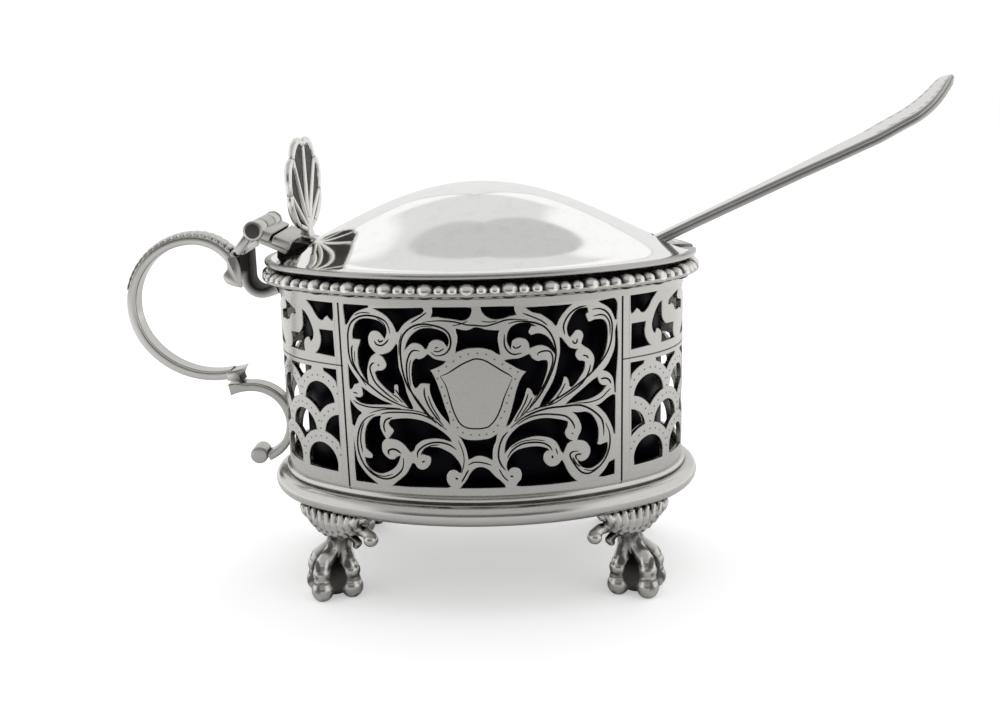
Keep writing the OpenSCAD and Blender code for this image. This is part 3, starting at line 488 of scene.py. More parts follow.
# Windows of the front panel, from the shield outwards: over and under it, to the left and to the right
front_windows = [
    [(0, 25.55), (0.75, 25.45), (1.5, 25.2), (2.5, 25.05), (3.7, 24.95), (3.5, 24.5), (3.4, 23.5),
     (3.6, 22), (3.7, 21.3), (3.2, 21.45), (2.4, 22), (1.5, 22.3), (0.5, 22.45), (-1, 22.4), (-1.9, 22.2),
     (-2.6, 21.95), (-3.05, 21.75), (-3, 22.3), (-2.75, 23.4), (-2.7, 24.25), (-2.9, 25), (-2.9, 25.4),
     (-2.25, 25.25), (-1.4, 25.1), (-0.7, 25.25)],
    [(-2.9, 8.6), (-2, 8.1), (-1, 7.95), (0, 7.95), (1.5, 8.1), (2.25, 8.4), (2.9, 8.85), (2.75, 7.75),
     (2.4, 7), (2.2, 6), (2.1, 4.75), (1.75, 4.9), (1.1, 5.25), (0.4, 5.45), (-0.4, 5.4), (-1, 5.1),
     (-1.6, 4.85), (-1.75, 5.75), (-2, 6.75), (-2.4, 7.75)],
    [(-3, 0.2), (-2.5, 0.8), (-1.9, 1.6), (-1.35, 2.6), (-0.7, 3.3), (0, 3.6), (0.7, 3.55), (1.4, 3.2),
     (1.9, 2.7), (2.5, 2), (3.2, 1.4), (3.9, 0.6), (4, 0.2)],
    [(-6, 28.95), (-5.25, 28.9), (-0.5, 28.55), (-0.4, 28), (-0.75, 27.25), (-1.4, 26.75), (-2.25, 26.7),
     (-3.25, 26.9), (-4.5, 27.05), (-5.6, 27.25), (-6.1, 27.25), (-6.6, 27.15), (-6.4, 27.9), (-6.4, 28.6)],
    [(-15.7, 28.25), (-8, 28.55), (-7.7, 28.2), (-8, 27.75), (-9, 27.25), (-10, 26.75), (-11, 26),
     (-11.6, 25.25), (-11.95, 24.8), (-12.25, 24.85), (-12.5, 25.5), (-12.9, 26.25), (-13.5, 27),
     (-14.1, 27.5), (-14.9, 27.9)],
    [(-21.25, 28.6), (-16.8, 28.8), (-16.75, 28.4), (-17.4, 28.2), (-18.25, 27.9), (-19.25, 27.4),
     (-20, 26.6), (-20.5, 25.9), (-20.9, 25.4), (-21.05, 25.6), (-21.2, 27), (-21.3, 28.2)],
    [(-19.8, 23.35), (-19.85, 23.9), (-19.7, 24.75), (-19.25, 25.7), (-18.5, 26.35), (-17.5, 26.6),
     (-16.4, 26.6), (-15.25, 26.4), (-14.4, 25.9), (-13.95, 25.25), (-13.85, 24.5), (-14.2, 23.65),
     (-14.55, 24.1), (-15, 24.6), (-15.6, 24.85), (-16.4, 24.7), (-16.9, 24.1), (-17.05, 23.4),
     (-16.9, 22.5), (-16.4, 21.8), (-15.85, 21.3), (-16.5, 20.9), (-17, 20.2), (-17.3, 19.3), (-17.5, 18.4),
     (-17.5, 17.4), (-17.3, 16.4), (-17.9, 17.1), (-18.5, 18.1), (-18.9, 19), (-19.05, 20), (-19.05, 21),
     (-18.95, 21.75), (-18.6, 22.6), (-18.4, 23.3)],
    [(-12.3, 22.95), (-12.6, 22.5), (-13, 22), (-13.5, 21.55), (-14.4, 21.2), (-15.1, 21.05), (-14.6, 20.7),
     (-14.2, 20), (-14.1, 19.4), (-14.4, 18.9), (-15, 18.55), (-15.7, 18.5), (-16.1, 18.2), (-15.75, 17.25),
     (-15, 16.4), (-14.1, 15.6), (-13.25, 15), (-13, 15.1), (-12.95, 15.6), (-13, 16.1), (-12.85, 16.5),
     (-12.45, 16.55), (-12.3, 16.2), (-12.3, 15.6), (-12.1, 14.75), (-11.5, 13.9), (-10.75, 13),
     (-10.3, 12.8), (-10, 12.85), (-10.2, 13.5), (-10.7, 14.6), (-11, 15.5), (-11.2, 16.6), (-11.55, 17.8),
     (-12, 19), (-12.1, 20), (-12.15, 21.25), (-12.15, 22.5)],
    [(-10.9, 22.1), (-10.8, 22.6), (-10.45, 23.45), (-9.8, 24.3), (-8.95, 25), (-7.95, 25.4), (-6.7, 25.45),
     (-5.45, 25.2), (-4.55, 24.7), (-4.1, 24), (-4.05, 23.25), (-4.3, 22.6), (-4.6, 23), (-4.95, 23.45),
     (-5.5, 23.7), (-6.1, 23.75), (-6.75, 23.45), (-7.2, 22.9), (-7.45, 22.3), (-7.8, 22.3), (-8.2, 22.8),
     (-8.75, 23.1), (-9.4, 23.2), (-10, 23), (-10.5, 22.55)],
    [(-4.55, 20.4), (-5.5, 20.5), (-6.4, 20.75), (-7, 21.2), (-7.4, 21.45), (-7.6, 21.2), (-8.1, 20.8),
     (-8.75, 20.6), (-9.2, 20.75), (-9.7, 20.25), (-9.95, 19.25), (-10.05, 18), (-9.9, 16.75), (-9.6, 16.1),
     (-9.2, 16.2), (-8.9, 16.6), (-8.4, 16.9), (-7.2, 16.85), (-7.25, 15.9), (-7, 14.75), (-6.5, 13.55),
     (-5.9, 12.45), (-5.1, 11.4), (-4.3, 10.5), (-4.45, 11.7), (-4.9, 13), (-5.25, 14.25), (-5.6, 15.5),
     (-6.1, 17), (-6.6, 18.25), (-7.05, 18.95), (-6, 19.4), (-5, 19.9)],
    [(-18.6, 15.7), (-17.9, 15.3), (-17, 14.75), (-16, 14.25), (-15, 13.8), (-13.75, 13.45), (-13.4, 13.3),
     (-14.5, 13.2), (-16, 13.1), (-17.5, 13), (-18.75, 13.1), (-19.6, 13.5), (-19.9, 14), (-19.4, 13.95),
     (-18.9, 14), (-18.5, 14.4), (-18.5, 15)],
    [(-20.95, 19.15), (-20.6, 18.5), (-20.1, 17.75), (-19.4, 16.9), (-19.1, 16.4), (-19.5, 16.15),
     (-20, 16), (-20.3, 15.5), (-20.6, 15.2), (-20.85, 15.2), (-20.95, 16), (-20.95, 17.5)],
    [(-20.9, 13.4), (-20.4, 12.75), (-19.75, 12.1), (-18.95, 11.6), (-18.9, 11.4), (-19.45, 11), (-20, 10),
     (-20.3, 9.25), (-20.7, 9.5), (-20.85, 11), (-20.95, 12.5)],
    [(-20.6, 6.75), (-20.45, 5.5), (-20.25, 4), (-19.9, 3.1), (-19.1, 2.1), (-18.25, 1.25), (-17.25, 0.55),
     (-16.6, 0.1), (-18.5, 0.15), (-20, 0.1), (-20.6, 0.15), (-20.7, 3)],
    [(-15.5, 11.3), (-16.1, 11.2), (-16.9, 10.9), (-17.6, 10.2), (-18.1, 9.4), (-18.45, 8.25), (-18.55, 7),
     (-18.4, 5.9), (-17.9, 5.4), (-17.3, 4.9), (-17.35, 4.3), (-17.95, 4.2), (-18.7, 4.25), (-18.5, 3.5),
     (-17.9, 2.6), (-16.95, 2.05), (-15.75, 1.9), (-14.6, 2.3), (-13.6, 2.95), (-12.95, 3.75),
     (-12.6, 4.55), (-12.45, 5.1), (-12.95, 4.9), (-13.5, 4.45), (-14.25, 4.4), (-14.9, 4.8), (-15.4, 5.4),
     (-15.55, 6.05), (-15.5, 6.75), (-15.25, 7.3), (-14.75, 7.7), (-15.2, 8.4), (-15.6, 9.25),
     (-15.7, 10.25)],
    [(-14.2, 10.2), (-13.75, 10.8), (-12.5, 11.05), (-11, 11.2), (-9.5, 11.1), (-8, 10.75), (-6.5, 10),
     (-5.25, 9.1), (-4.45, 8.35), (-4.1, 7.75), (-4.5, 7.8), (-5.5, 8.1), (-6.5, 8.2), (-7.5, 8.1),
     (-8.5, 7.85), (-9.25, 7.4), (-9.9, 6.75), (-10.2, 6.1), (-10.7, 5.75), (-11, 6.1), (-11.4, 6.6),
     (-12, 7.2), (-12.75, 7.6), (-13.6, 7.75), (-14.25, 7.75), (-13.9, 8.25), (-13.4, 8.9), (-13.5, 9.4),
     (-13.9, 9.75)],
    [(-8.8, 5.6), (-8.6, 6.25), (-8.05, 6.7), (-7, 6.8), (-6, 6.7), (-5, 6.25), (-4.1, 5.7), (-3.4, 4.9),
     (-2.95, 4.2), (-2.7, 3.4), (-2.8, 2.75), (-3.2, 2.8), (-3.5, 3.1), (-4, 3.2), (-4.55, 3), (-5, 2.4),
     (-5.1, 1.6), (-4.9, 0.95), (-4.45, 0.45), (-5, 0.25), (-8.5, 0.2), (-11, 0.1), (-13.9, 0.1),
     (-13.25, 0.7), (-12.4, 1.4), (-11.5, 2.25), (-10.9, 3.25), (-10.5, 4), (-10.1, 3.95), (-9.8, 3.45),
     (-9.3, 3.1), (-8.7, 3.05), (-8.1, 3.35), (-7.6, 4), (-7.45, 4.7), (-7.6, 5.25), (-8.2, 5.45)],
    [(0.9, 28.7), (6, 28.55), (6.05, 27.9), (6.25, 27.3), (5.4, 27.2), (4.1, 26.8), (2.9, 26.75), (2, 27.1),
     (1.4, 27.6), (1, 28.2)],
    [(7.7, 28.3), (14.8, 28.3), (14.1, 27.75), (13.4, 27), (12.8, 26.1), (12.5, 25.4), (12.2, 25.3),
     (11.75, 25.9), (10.9, 26.6), (9.9, 27.25), (8.7, 27.6)],
    [(19.4, 28.4), (22, 28.6), (22.5, 28.25), (22.7, 27.5), (22.6, 26.2), (22.55, 25.3), (22.25, 25.3),
     (22, 26), (21.5, 26.9), (20.75, 27.6), (19.9, 28.05)],
    [(17.5, 27.55), (16.5, 27.6), (15.6, 27.3), (14.9, 26.6), (14.4, 25.75), (14.1, 24.75), (14.25, 23.75),
     (14.55, 23.3), (15, 23.75), (15.5, 24.3), (16.1, 24.3), (16.6, 23.9), (16.75, 23.25), (16.5, 22.5),
     (16.4, 22.1), (17, 21.6), (17.75, 21.1), (18.4, 20.25), (18.6, 19.5), (18.5, 18.75), (18.2, 17.75),
     (18.6, 18.05), (19.4, 18.75), (20.1, 19.75), (20.6, 21), (20.9, 22.5), (20.95, 23.75), (20.75, 24.75),
     (20.25, 25.4), (19.5, 25.6), (18.6, 25.6), (17.9, 25.4), (17.6, 25.45), (17.4, 25.9), (17.2, 26.4),
     (17.25, 26.75), (17.6, 26.95)],
    [(12.9, 23.4), (12.95, 22), (12.9, 21), (12.6, 19.5), (12.3, 18.25), (11.9, 17), (11.25, 15.75),
     (10.6, 14.75), (10, 13.75), (9.55, 12.8), (10, 12.95), (10.75, 13.3), (11.25, 13.6), (11.75, 14.1),
     (12.5, 15), (13.1, 15.9), (13.4, 16.75), (13.5, 17.2), (13.75, 17.2), (14.1, 16.9), (14.3, 16.4),
     (14.45, 15.6), (14.75, 15.45), (15.4, 16), (16.1, 16.9), (16.75, 17.9), (17, 18.9), (16.9, 19.25),
     (16.5, 19.4), (16, 19.5), (15.55, 20), (15.4, 20.5), (15.5, 21), (15.75, 21.3), (15.25, 21.4),
     (14.6, 21.6), (14.1, 22.1), (13.6, 22.75), (13.25, 23.2)],
    [(9.1, 25.45), (8.25, 25.9), (7.1, 26), (6.1, 25.8), (5.3, 25.25), (4.9, 24.5), (4.75, 23.6),
     (4.9, 22.9), (5.3, 22.1), (5.45, 22.7), (5.6, 23.3), (6.1, 23.7), (6.75, 23.8), (7.5, 23.55),
     (7.95, 23.1), (8.15, 22.55), (8.2, 22.05), (8.6, 22.2), (9.4, 22.45), (10.25, 22.4), (11.1, 22),
     (11.75, 21.4), (12.2, 20.8), (12.15, 21.6), (11.75, 22.6), (11.1, 23.5), (10.25, 24.05), (9.4, 24.25),
     (8.6, 24.05), (8.25, 24.2), (8.1, 24.7), (8.6, 25.5)],
    [(7.65, 18.45), (6.5, 18.9), (5.1, 19.75), (4.3, 20.25), (4.5, 20.4), (5.4, 20.5), (6.5, 20.55),
     (7.5, 20.9), (8.1, 21.15), (8.3, 20.9), (8.6, 20.4), (9.4, 19.95), (10, 20.05), (10.8, 20), (11, 19.5),
     (10.9, 18.5), (10.5, 17.25), (10, 16), (9.5, 15), (8.9, 14.55), (8.6, 14.9), (8.4, 15.4), (8.1, 15.75),
     (7.7, 15.9), (7.5, 15.4), (7.25, 14.5), (6.75, 13.25), (6, 12), (5.4, 11), (4.9, 10.3), (4.4, 10.05),
     (4.6, 10.7), (4.9, 11.5), (5.3, 12.75), (5.75, 14.5), (6.1, 15.75), (6.55, 17), (7.1, 17.9)],
    [(19.1, 16.6), (18, 16), (17, 15.3), (16, 14.6), (15, 13.9), (14.1, 13.2), (13.75, 12.85),
     (14.75, 12.95), (16, 13.1), (17.25, 13.2), (18.5, 13.5), (19.75, 14.1), (20.4, 14.75), (20.65, 15.05),
     (20.1, 15.1), (19.6, 15.4), (19.3, 15.9)],
    [(22.6, 24.6), (22.3, 23.5), (22.3, 22.25), (22.2, 21), (21.8, 19.9), (21.1, 18.6), (20.4, 17.8),
     (20, 17.55), (20.9, 17.2), (21.5, 16.7), (21.9, 15.95), (22.1, 14.75), (22.15, 13.7), (22.35, 13.7),
     (22.4, 15.75), (22.6, 18), (22.8, 21), (22.7, 23.75)],
    [(21.75, 13.4), (21, 13.1), (20.4, 12.75), (19.6, 12.25), (18.9, 12.05), (19.4, 11.7), (20, 11.1),
     (20.6, 10.4), (21.25, 9.25), (21.75, 8.1), (22, 7.1), (22.2, 7), (22.25, 8.25), (22.25, 10),
     (22.3, 12), (22.25, 13.3)],
    [(22.15, 2.85), (21.7, 2.7), (21.1, 2.5), (20.7, 1.9), (20.1, 1.2), (19.5, 0.7), (19.2, 0.4), (20, 0.3),
     (21, 0.35), (22.1, 0.4)],
    [(14.9, 11.45), (15.75, 11.3), (16.6, 11.3), (17.25, 11.2), (18.05, 10.7), (18.7, 9.75), (19.1, 8.75),
     (19.25, 7.6), (19.15, 6.5), (18.9, 5.85), (19.45, 5.6), (20.1, 5.75), (20.8, 5.85), (20.85, 5.1),
     (20.6, 4.25), (20, 3.25), (19.1, 2.5), (18, 2.05), (17, 2.1), (16.25, 2.5), (15.7, 3.25), (15.55, 3.8),
     (16.1, 3.35), (16.95, 3.5), (17.5, 4), (17.8, 4.75), (17.7, 5.5), (17.25, 6.25), (16.5, 6.7),
     (15.6, 6.9), (15.8, 7.55), (16.15, 8.1), (16.3, 8.9), (16.1, 9.75), (15.6, 10.75)],
    [(4.05, 5.8), (4.15, 6.9), (4.55, 8), (5.2, 8.9), (6.3, 9.9), (7.8, 10.55), (9.3, 10.9), (10.8, 10.9),
     (12.3, 10.6), (13.5, 10.25), (14.05, 10), (14, 9.4), (13.6, 8.6), (13.6, 7.95), (14, 7.3), (14.7, 6.9),
     (13.95, 6.5), (13.6, 5.8), (13.25, 5.05), (12.9, 5.45), (12.5, 6.4), (11.9, 7.2), (11, 7.75),
     (10, 8.05), (8.75, 8.2), (7.5, 8), (6.25, 7.6), (5.1, 6.9), (4.45, 6.2)],
    [(4.3, 3.4), (4.4, 4.25), (5, 5.35), (5.9, 6.1), (7.25, 6.45), (8.5, 6.55), (9.75, 6.4), (10.75, 6),
     (10.9, 5.7), (10.6, 5.7), (10.2, 5.3), (10.05, 4.75), (10.1, 4.1), (10.5, 3.5), (11.1, 3.1),
     (11.9, 3.1), (12.5, 3.4), (12.9, 3.85), (13.1, 3.85), (13.4, 3.25), (13.75, 2.4), (14.25, 1.5),
     (15, 0.6), (15.4, 0.25), (14, 0.2), (10, 0.2), (6.5, 0.25), (5.7, 0.4), (6, 0.9), (6.45, 1.4),
     (6.6, 2.1), (6.4, 2.9), (5.9, 3.3), (5.25, 3.4), (4.75, 3.1), (4.6, 2.8), (4.4, 3)],
]
post_left, post_right = -23.2, 25
front_sheet = saw_sheet("front_panels", post_left, post_right, [smooth_ring(w) for w in front_windows])

# End panels: three rows of scale windows and a row of spandrels under a bar, and scrolls over it
end_start, end_finish = post_right - 0.1, half_round + post_left + 0.1
end_middle = (end_start + end_finish) / 2
scale_pitch = (end_finish - end_start) / 5
scale_in, scale_out = 3.35, 5.4
feet_of_rows = (2.2, 7.25, 12.3, 17.35)


def between(low, high, points):
    """Outline kept between two posts."""
    kept = [(min(max(x, low), high), y) for x, y in points]
    return [p for i, p in enumerate(kept) if math.dist(p, kept[i - 1]) > 0.02]


end_windows, dots = [], []
for row, foot in enumerate(feet_of_rows):
    for i in range(5 + row % 2):
        middle = end_start + scale_pitch * (i + 0.5 - 0.5 * (row % 2))
        if row == 3:
            outline = [(middle - 3, 18), (middle + 3, 18)]
        else:
            outline = bow((middle, foot), scale_in, 176, 4, 18)
            for k in range(11):
                turn = math.pi * (k + 0.5) / 11
                way = Vector((math.cos(turn), math.sin(turn)))
                place = Vector((middle, foot)) + 4.4 * way
                if end_start < place.x < end_finish:
                    dots.append((place, way))
        if row == 0:
            outline += [(middle + scale_in - 0.1, 1.1), (middle - scale_in + 0.1, 1.1)]
        else:
            half = scale_pitch / 2
            cusp = math.degrees(math.acos(half / scale_out))
            corner = 78 if row < 3 else 74
            outline += bow((middle + half, feet_of_rows[row - 1]), scale_out, 180 - corner, 180 - cusp, 5)
            outline += bow((middle - half, feet_of_rows[row - 1]), scale_out, cusp, corner, 5)[1:]
        if middle - scale_in < end_finish - 1 and middle + scale_in > end_start + 1:
            end_windows.append(between(end_start + 0.3, end_finish - 0.3, outline))
end_scrolls = [
    [(29.4, 29), (23.4, 28.9), (23.4, 26.5), (23.6, 25.8), (24.2, 26.2), (24.6, 26.6), (25.1, 26.3),
     (25.6, 25.8), (26.3, 25.9), (27, 26.5), (27.8, 27.6), (28.6, 28.4)],
    [(26.4, 24.2), (23.6, 24.2), (23.5, 20.1), (27.5, 20.3), (26.9, 20.9), (26.4, 21.8), (26.2, 22.9)],
    [(30.2, 27), (29.4, 26.6), (28.6, 25.6), (28.1, 24.6), (27.8, 23.6), (28, 22.6), (28.5, 22.1),
     (28.8, 22.7), (29.3, 22.7), (29.9, 22.3), (30.2, 21.7), (30.1, 20.3), (34.5, 20.3), (34, 21),
     (33.9, 22), (34, 22.9), (33, 23), (31.6, 23.1), (30.8, 23.6), (30.3, 24.4), (30.2, 25.4)],
    [(36, 27.9), (34.5, 27.6), (33, 27.1), (32.3, 26.8), (32.1, 26.2), (32.6, 26), (33.3, 26.1), (34, 25.7),
     (34.5, 25), (35.5, 24.7), (37, 24.8), (38, 24.4), (38.3, 25.4), (37.8, 26), (36, 26.4), (35.6, 27)],
    [(38, 28.2), (44, 28.2), (44, 25.6), (42.6, 25.2), (41.6, 25.8), (40.8, 26.6), (39.4, 27.4)],
    [(37.2, 20.3), (38.4, 21.4), (39.6, 22.8), (41, 23.2), (42.2, 22.6), (42.4, 21.4), (41.6, 20.3)],
]
for outline in end_scrolls:
    near = [(half_round - x, y) for x, y in outline]
    end_windows += [smooth_ring(near), smooth_ring([(2 * end_middle - x, y) for x, y in near])]
end_sheet = saw_sheet("end_panels", end_start, end_finish, end_windows)


# Lines cut with the graver, each as its places and its width in the middle, and punched dots
def cut_lines(name, lines):
    """Fine dark lines cut in the sheet along their places, each with its own width there."""
    proud, sunk = 0.012, -0.05
    section = [(-0.5, sunk), (-0.5, proud), (0.5, proud), (0.5, sunk)]
    darkened = blank_curve(name)
    shades = []
    for line, shade in lines:
        add_line(darkened, [place for place, _ in line], [width for _, width in line])
        shades += [shade] * (len(section) * len(line))
    sweep_along(darkened, section)
    dark = tarnish_and_shade_of(darkened)
    for i, vertex in enumerate(darkened.data.vertices):
        vertex.co.z = proud if vertex.co.z > 0 else sunk
        dark[i].value = shades[i]
    bpy.ops.object.mode_set(mode="EDIT")
    bpy.ops.mesh.select_all(action="SELECT")
    bpy.ops.mesh.fill_holes(sides=0)
    bpy.ops.object.mode_set(mode="OBJECT")
    bend_round_wall(darkened)
    return darkened


graver_lines = [
    ([(7.5, 12), (10.5, 13.1), (14, 14.75), (17.5, 17), (20, 19.25), (21.25, 21.25), (21.7, 23.5),
      (21.55, 25.25), (20.75, 26.6), (19.5, 27.25), (18.25, 27.25)], 0.3),
    ([(13.7, 23.75), (13.5, 25), (13.9, 26.1), (14.75, 27.1), (16, 27.75), (17.25, 27.9)], 0.28),
    ([(18.4, 26.2), (19.75, 26.3), (20.6, 25.9), (21.25, 24.75), (21.3, 22.8)], 0.24),
    ([(14.9, 22.75), (15.2, 22.3), (15.6, 22.4), (15.7, 23)], 0.26),
    ([(12.6, 13.6), (15, 14.9), (16.5, 16), (17.5, 17.4), (17.9, 18.75)], 0.26),
    ([(16.6, 20.3), (17.25, 20.1), (17.5, 19.75)], 0.26),
    ([(5.75, 10.75), (7.5, 12.25), (9.5, 14.5), (11, 17), (12, 19.5), (12.25, 21.5), (11.75, 23.5),
      (10.75, 25), (9.5, 25.75), (8.25, 26.1), (6.5, 26.3), (5, 26)], 0.3),
    ([(4.4, 24.4), (4.35, 23.2), (4.45, 22.5), (4.9, 21.75), (5.75, 21.25), (7, 21.4)], 0.26),
    ([(5.6, 22.6), (5.9, 22.25), (6.4, 22.25), (6.9, 22.6)], 0.24),
    ([(8, 13), (10, 15.75), (11.25, 18.25), (11.75, 20), (11.4, 21.25), (10.5, 21.5), (9.6, 21.3),
      (9.3, 20.9)], 0.26),
    ([(5.6, 10.75), (7.25, 13.5), (7.8, 15)], 0.22), ([(6.6, 11.6), (7.9, 13.4), (8.4, 14.4)], 0.2),
    ([(10.4, 12.75), (11.75, 13.5), (13, 15), (13.7, 16.25)], 0.22),
    ([(8.6, 12.6), (11.6, 13.1), (13.4, 14)], 0.2),
    ([(5, 9.75), (6.75, 11.1), (8.75, 12), (11, 12.5), (13.25, 12.55), (15.5, 12.55), (17, 12.1),
      (18.5, 11.1), (19.75, 9.75), (20.1, 8.25), (20.1, 7)], 0.32),
    ([(6, 10.25), (8, 11.3), (10, 11.6), (12, 11.4), (13.6, 11), (14.5, 10.25), (15, 9.4), (15.1, 8.8)],
     0.28),
    ([(20.5, 9), (21.1, 7.5), (21.25, 6), (20.9, 4.25), (20, 2.75), (18.75, 1.75), (17.5, 1.25),
      (16.25, 1.6), (15.25, 2.75), (14.4, 4.25), (14.4, 4.9), (15, 5.15), (15.75, 5.1)], 0.3),
    ([(14.75, 4.25), (15.25, 3.25), (16, 2.5)], 0.24),
    ([(15.4, 3.75), (15.25, 4.4), (15.6, 4.6), (16.25, 4.55)], 0.28),
    ([(19.4, 2.25), (18, 1.65), (16.6, 2.05)], 0.16), ([(14.6, 8.2), (14.9, 7.95)], 0.16),
    ([(4.4, 5), (5.25, 6.25), (6.75, 7.1), (8.5, 7.25), (10, 7), (11, 6.4), (11.45, 5.6)], 0.28),
    ([(5, 6.6), (6.6, 7.45), (8.6, 7.65), (10.4, 7.3)], 0.16), ([(11.4, 4.9), (11.5, 4.4)], 0.28),
    ([(12, 6), (12.3, 5)], 0.18),
    ([(4.6, 9.2), (3.75, 8.25), (3.2, 6.75), (3.05, 5.25), (3.4, 4), (4.1, 3)], 0.28),
    ([(3.1, 3.25), (3.75, 2), (4.5, 1.25)], 0.2),
    ([(4.8, 2.05), (5.25, 1.95)], 0.28),
    ([(15, 12.9), (17.5, 12.75), (19.5, 13.1), (20.75, 14), (21.4, 14.5)], 0.2),
    ([(19.6, 16.2), (20.4, 16.25), (21.1, 15.9), (21.45, 15.25)], 0.28),
    ([(7.2, 27.5), (8.6, 26.9), (10, 26.2), (11, 25.4)], 0.22),
    ([(-8, 26.35), (-6, 26.6), (-4.25, 26.6), (-2.75, 26.4), (-1.25, 26), (0, 25.9), (1.5, 25.75),
      (2.75, 26), (4, 26.4), (5, 26.6), (6.25, 26.6), (8, 26.4)], 0.24),
    ([(-1, 26.6), (-2.2, 26.1), (-3.4, 25.9)], 0.16), ([(1, 26.5), (2.2, 26.35), (3.4, 26.5)], 0.16),
    ([(-1.6, 4), (-0.9, 4.4), (0, 4.45), (1, 4.25), (2, 3.9)], 0.22),
    ([(-10, 12.75), (-11.4, 13.1), (-14, 14.1), (-16.25, 15.5), (-18.5, 17.25), (-20, 19), (-20.6, 20.5),
      (-20.7, 22.5), (-20.6, 24.25), (-20, 25.75), (-18.75, 26.7), (-17.25, 27.1), (-15.5, 27), (-14, 26.4),
      (-13.4, 25.4), (-13.25, 24.5)], 0.3),
    ([(-17.75, 16), (-19.1, 18), (-20, 19.75), (-20.1, 21.5), (-19.9, 22.25)], 0.3),
    ([(-19.6, 19.6), (-19.6, 21.4)], 0.14),
    ([(-19.3, 27), (-18, 27.5), (-16.4, 27.5)], 0.18),
    ([(-15.3, 26.75), (-14.2, 26), (-13.75, 24.9)], 0.16),
    ([(-13.5, 23.6), (-14, 23), (-14.75, 22.55), (-15.6, 22.7), (-15.9, 23.25)], 0.26),
    ([(-14.4, 23.4), (-15, 23.1), (-15.25, 23.5)], 0.26),
    ([(-12.4, 13.75), (-14.25, 15), (-16, 16.5), (-16.75, 18), (-16.9, 19), (-16.5, 19.6), (-16.1, 19.75)],
     0.28),
    ([(-15.5, 19.5), (-15.3, 19.35)], 0.3), ([(-10.5, 13.25), (-12, 14.75), (-12.75, 15.75)], 0.24),
    ([(-11.6, 13.7), (-12.6, 14.6), (-13.3, 14.95)], 0.18),
    ([(-5.6, 10.1), (-7.5, 12), (-9, 14), (-10.5, 16), (-11.25, 18), (-11.6, 20.25), (-11.6, 22.5),
      (-11.25, 24), (-10.5, 25), (-9.4, 25.75), (-8, 26.1), (-6.25, 25.9), (-4.75, 25.4), (-3.9, 24.5),
      (-3.7, 23.25), (-4, 22.25), (-4.75, 21.5), (-6, 21.25), (-6.75, 21.75)], 0.3),
    ([(-4.75, 22.4), (-5.6, 21.9), (-6.4, 22)], 0.2), ([(-5.6, 22.6), (-6.2, 22.4)], 0.18),
    ([(-11.9, 21), (-11.8, 23), (-11.3, 24.6)], 0.14), ([(-9.4, 25.3), (-8, 25.75), (-6.4, 25.65)], 0.14),
    ([(-6.4, 10.6), (-8, 12.25), (-9.75, 14.75), (-10.6, 17), (-10.75, 19.5), (-10.25, 21.25), (-9.5, 22),
      (-8.5, 21.9)], 0.28),
    ([(-10.2, 16.4), (-10.35, 19), (-10, 20.6)], 0.14),
    ([(-5.25, 10.25), (-7, 12.5), (-8, 14.75), (-8.05, 16.25)], 0.26),
    ([(-5.7, 11.2), (-6.9, 13.2), (-7.5, 15)], 0.2),
    ([(-4.75, 9.6), (-6.75, 11.1), (-9, 12), (-11.5, 12.15), (-14, 12), (-15.5, 11.6)], 0.24),
    ([(-6, 11.1), (-8.6, 12.3), (-11.6, 12.6), (-15, 12.4), (-17.4, 11.6)], 0.18),
    ([(-16.5, 11.5), (-18, 10.75), (-19.1, 9.5), (-19.75, 7.75), (-19.9, 6), (-19.6, 4.5), (-19, 3.25),
      (-18, 2.1), (-16.75, 1.4), (-15.25, 1.1), (-13.75, 1.5), (-12.5, 2.5), (-12, 3.5), (-11.9, 4.75)],
     0.3),
    ([(-18.5, 10), (-19.1, 8.5), (-19.3, 6.75), (-19, 5)], 0.24),
    ([(-18.4, 2.8), (-17, 1.75), (-15.4, 1.5), (-13.8, 2)], 0.18),
    ([(-12.25, 5.5), (-13, 6), (-13.75, 6.1), (-14.4, 5.75), (-14.3, 5.1)], 0.32),
    ([(-13.5, 11.25), (-14.6, 10.75), (-15, 9.75), (-14.8, 8.75)], 0.28),
    ([(-3.4, 6.5), (-4.5, 7.25), (-6, 7.6), (-7.5, 7.4), (-8.75, 6.75), (-9.5, 5.9), (-9.6, 5)], 0.28),
    ([(-6, 7.2), (-7.4, 7), (-8.6, 6.2), (-9, 5.4)], 0.18), ([(-8.9, 4.3), (-8.4, 4.5)], 0.24),
    ([(-3.1, 8), (-2.5, 6.5), (-2.25, 5), (-2.4, 3.75), (-2.75, 2.6)], 0.16),
    ([(-1.6, 3.25), (-2.25, 2.1), (-2.75, 1.25)], 0.26),
    ([(-3.7, 1.9), (-3.3, 1.7)], 0.3),
    ([(-12, 12.75), (-14.5, 12.7), (-17.25, 12.6), (-19.25, 12.9), (-20.25, 13.4)], 0.24),
    ([(-20.2, 14.7), (-19.4, 14.6)], 0.22), ([(-7.25, 27.9), (-8.5, 27), (-9.75, 26.25)], 0.24),
    ([(5.45, 17.65), (5, 18.1), (3.75, 18.9), (2.5, 19.75), (1.25, 20.5), (0, 20.75), (-1, 20.45), (-2, 20),
      (-3, 19.4), (-4.25, 18.6), (-5.5, 18.05)], 0.24),
    ([(5.4, 17.5), (4.75, 16), (4.1, 14.5), (3.5, 12.75), (2.75, 11.25), (2, 10.4), (1.4, 10), (0, 9.8),
      (-1.75, 10), (-2.75, 10.75), (-3.4, 12), (-3.9, 13.5), (-4.25, 15), (-4.75, 16.75), (-5.5, 18)],
     0.22),
]
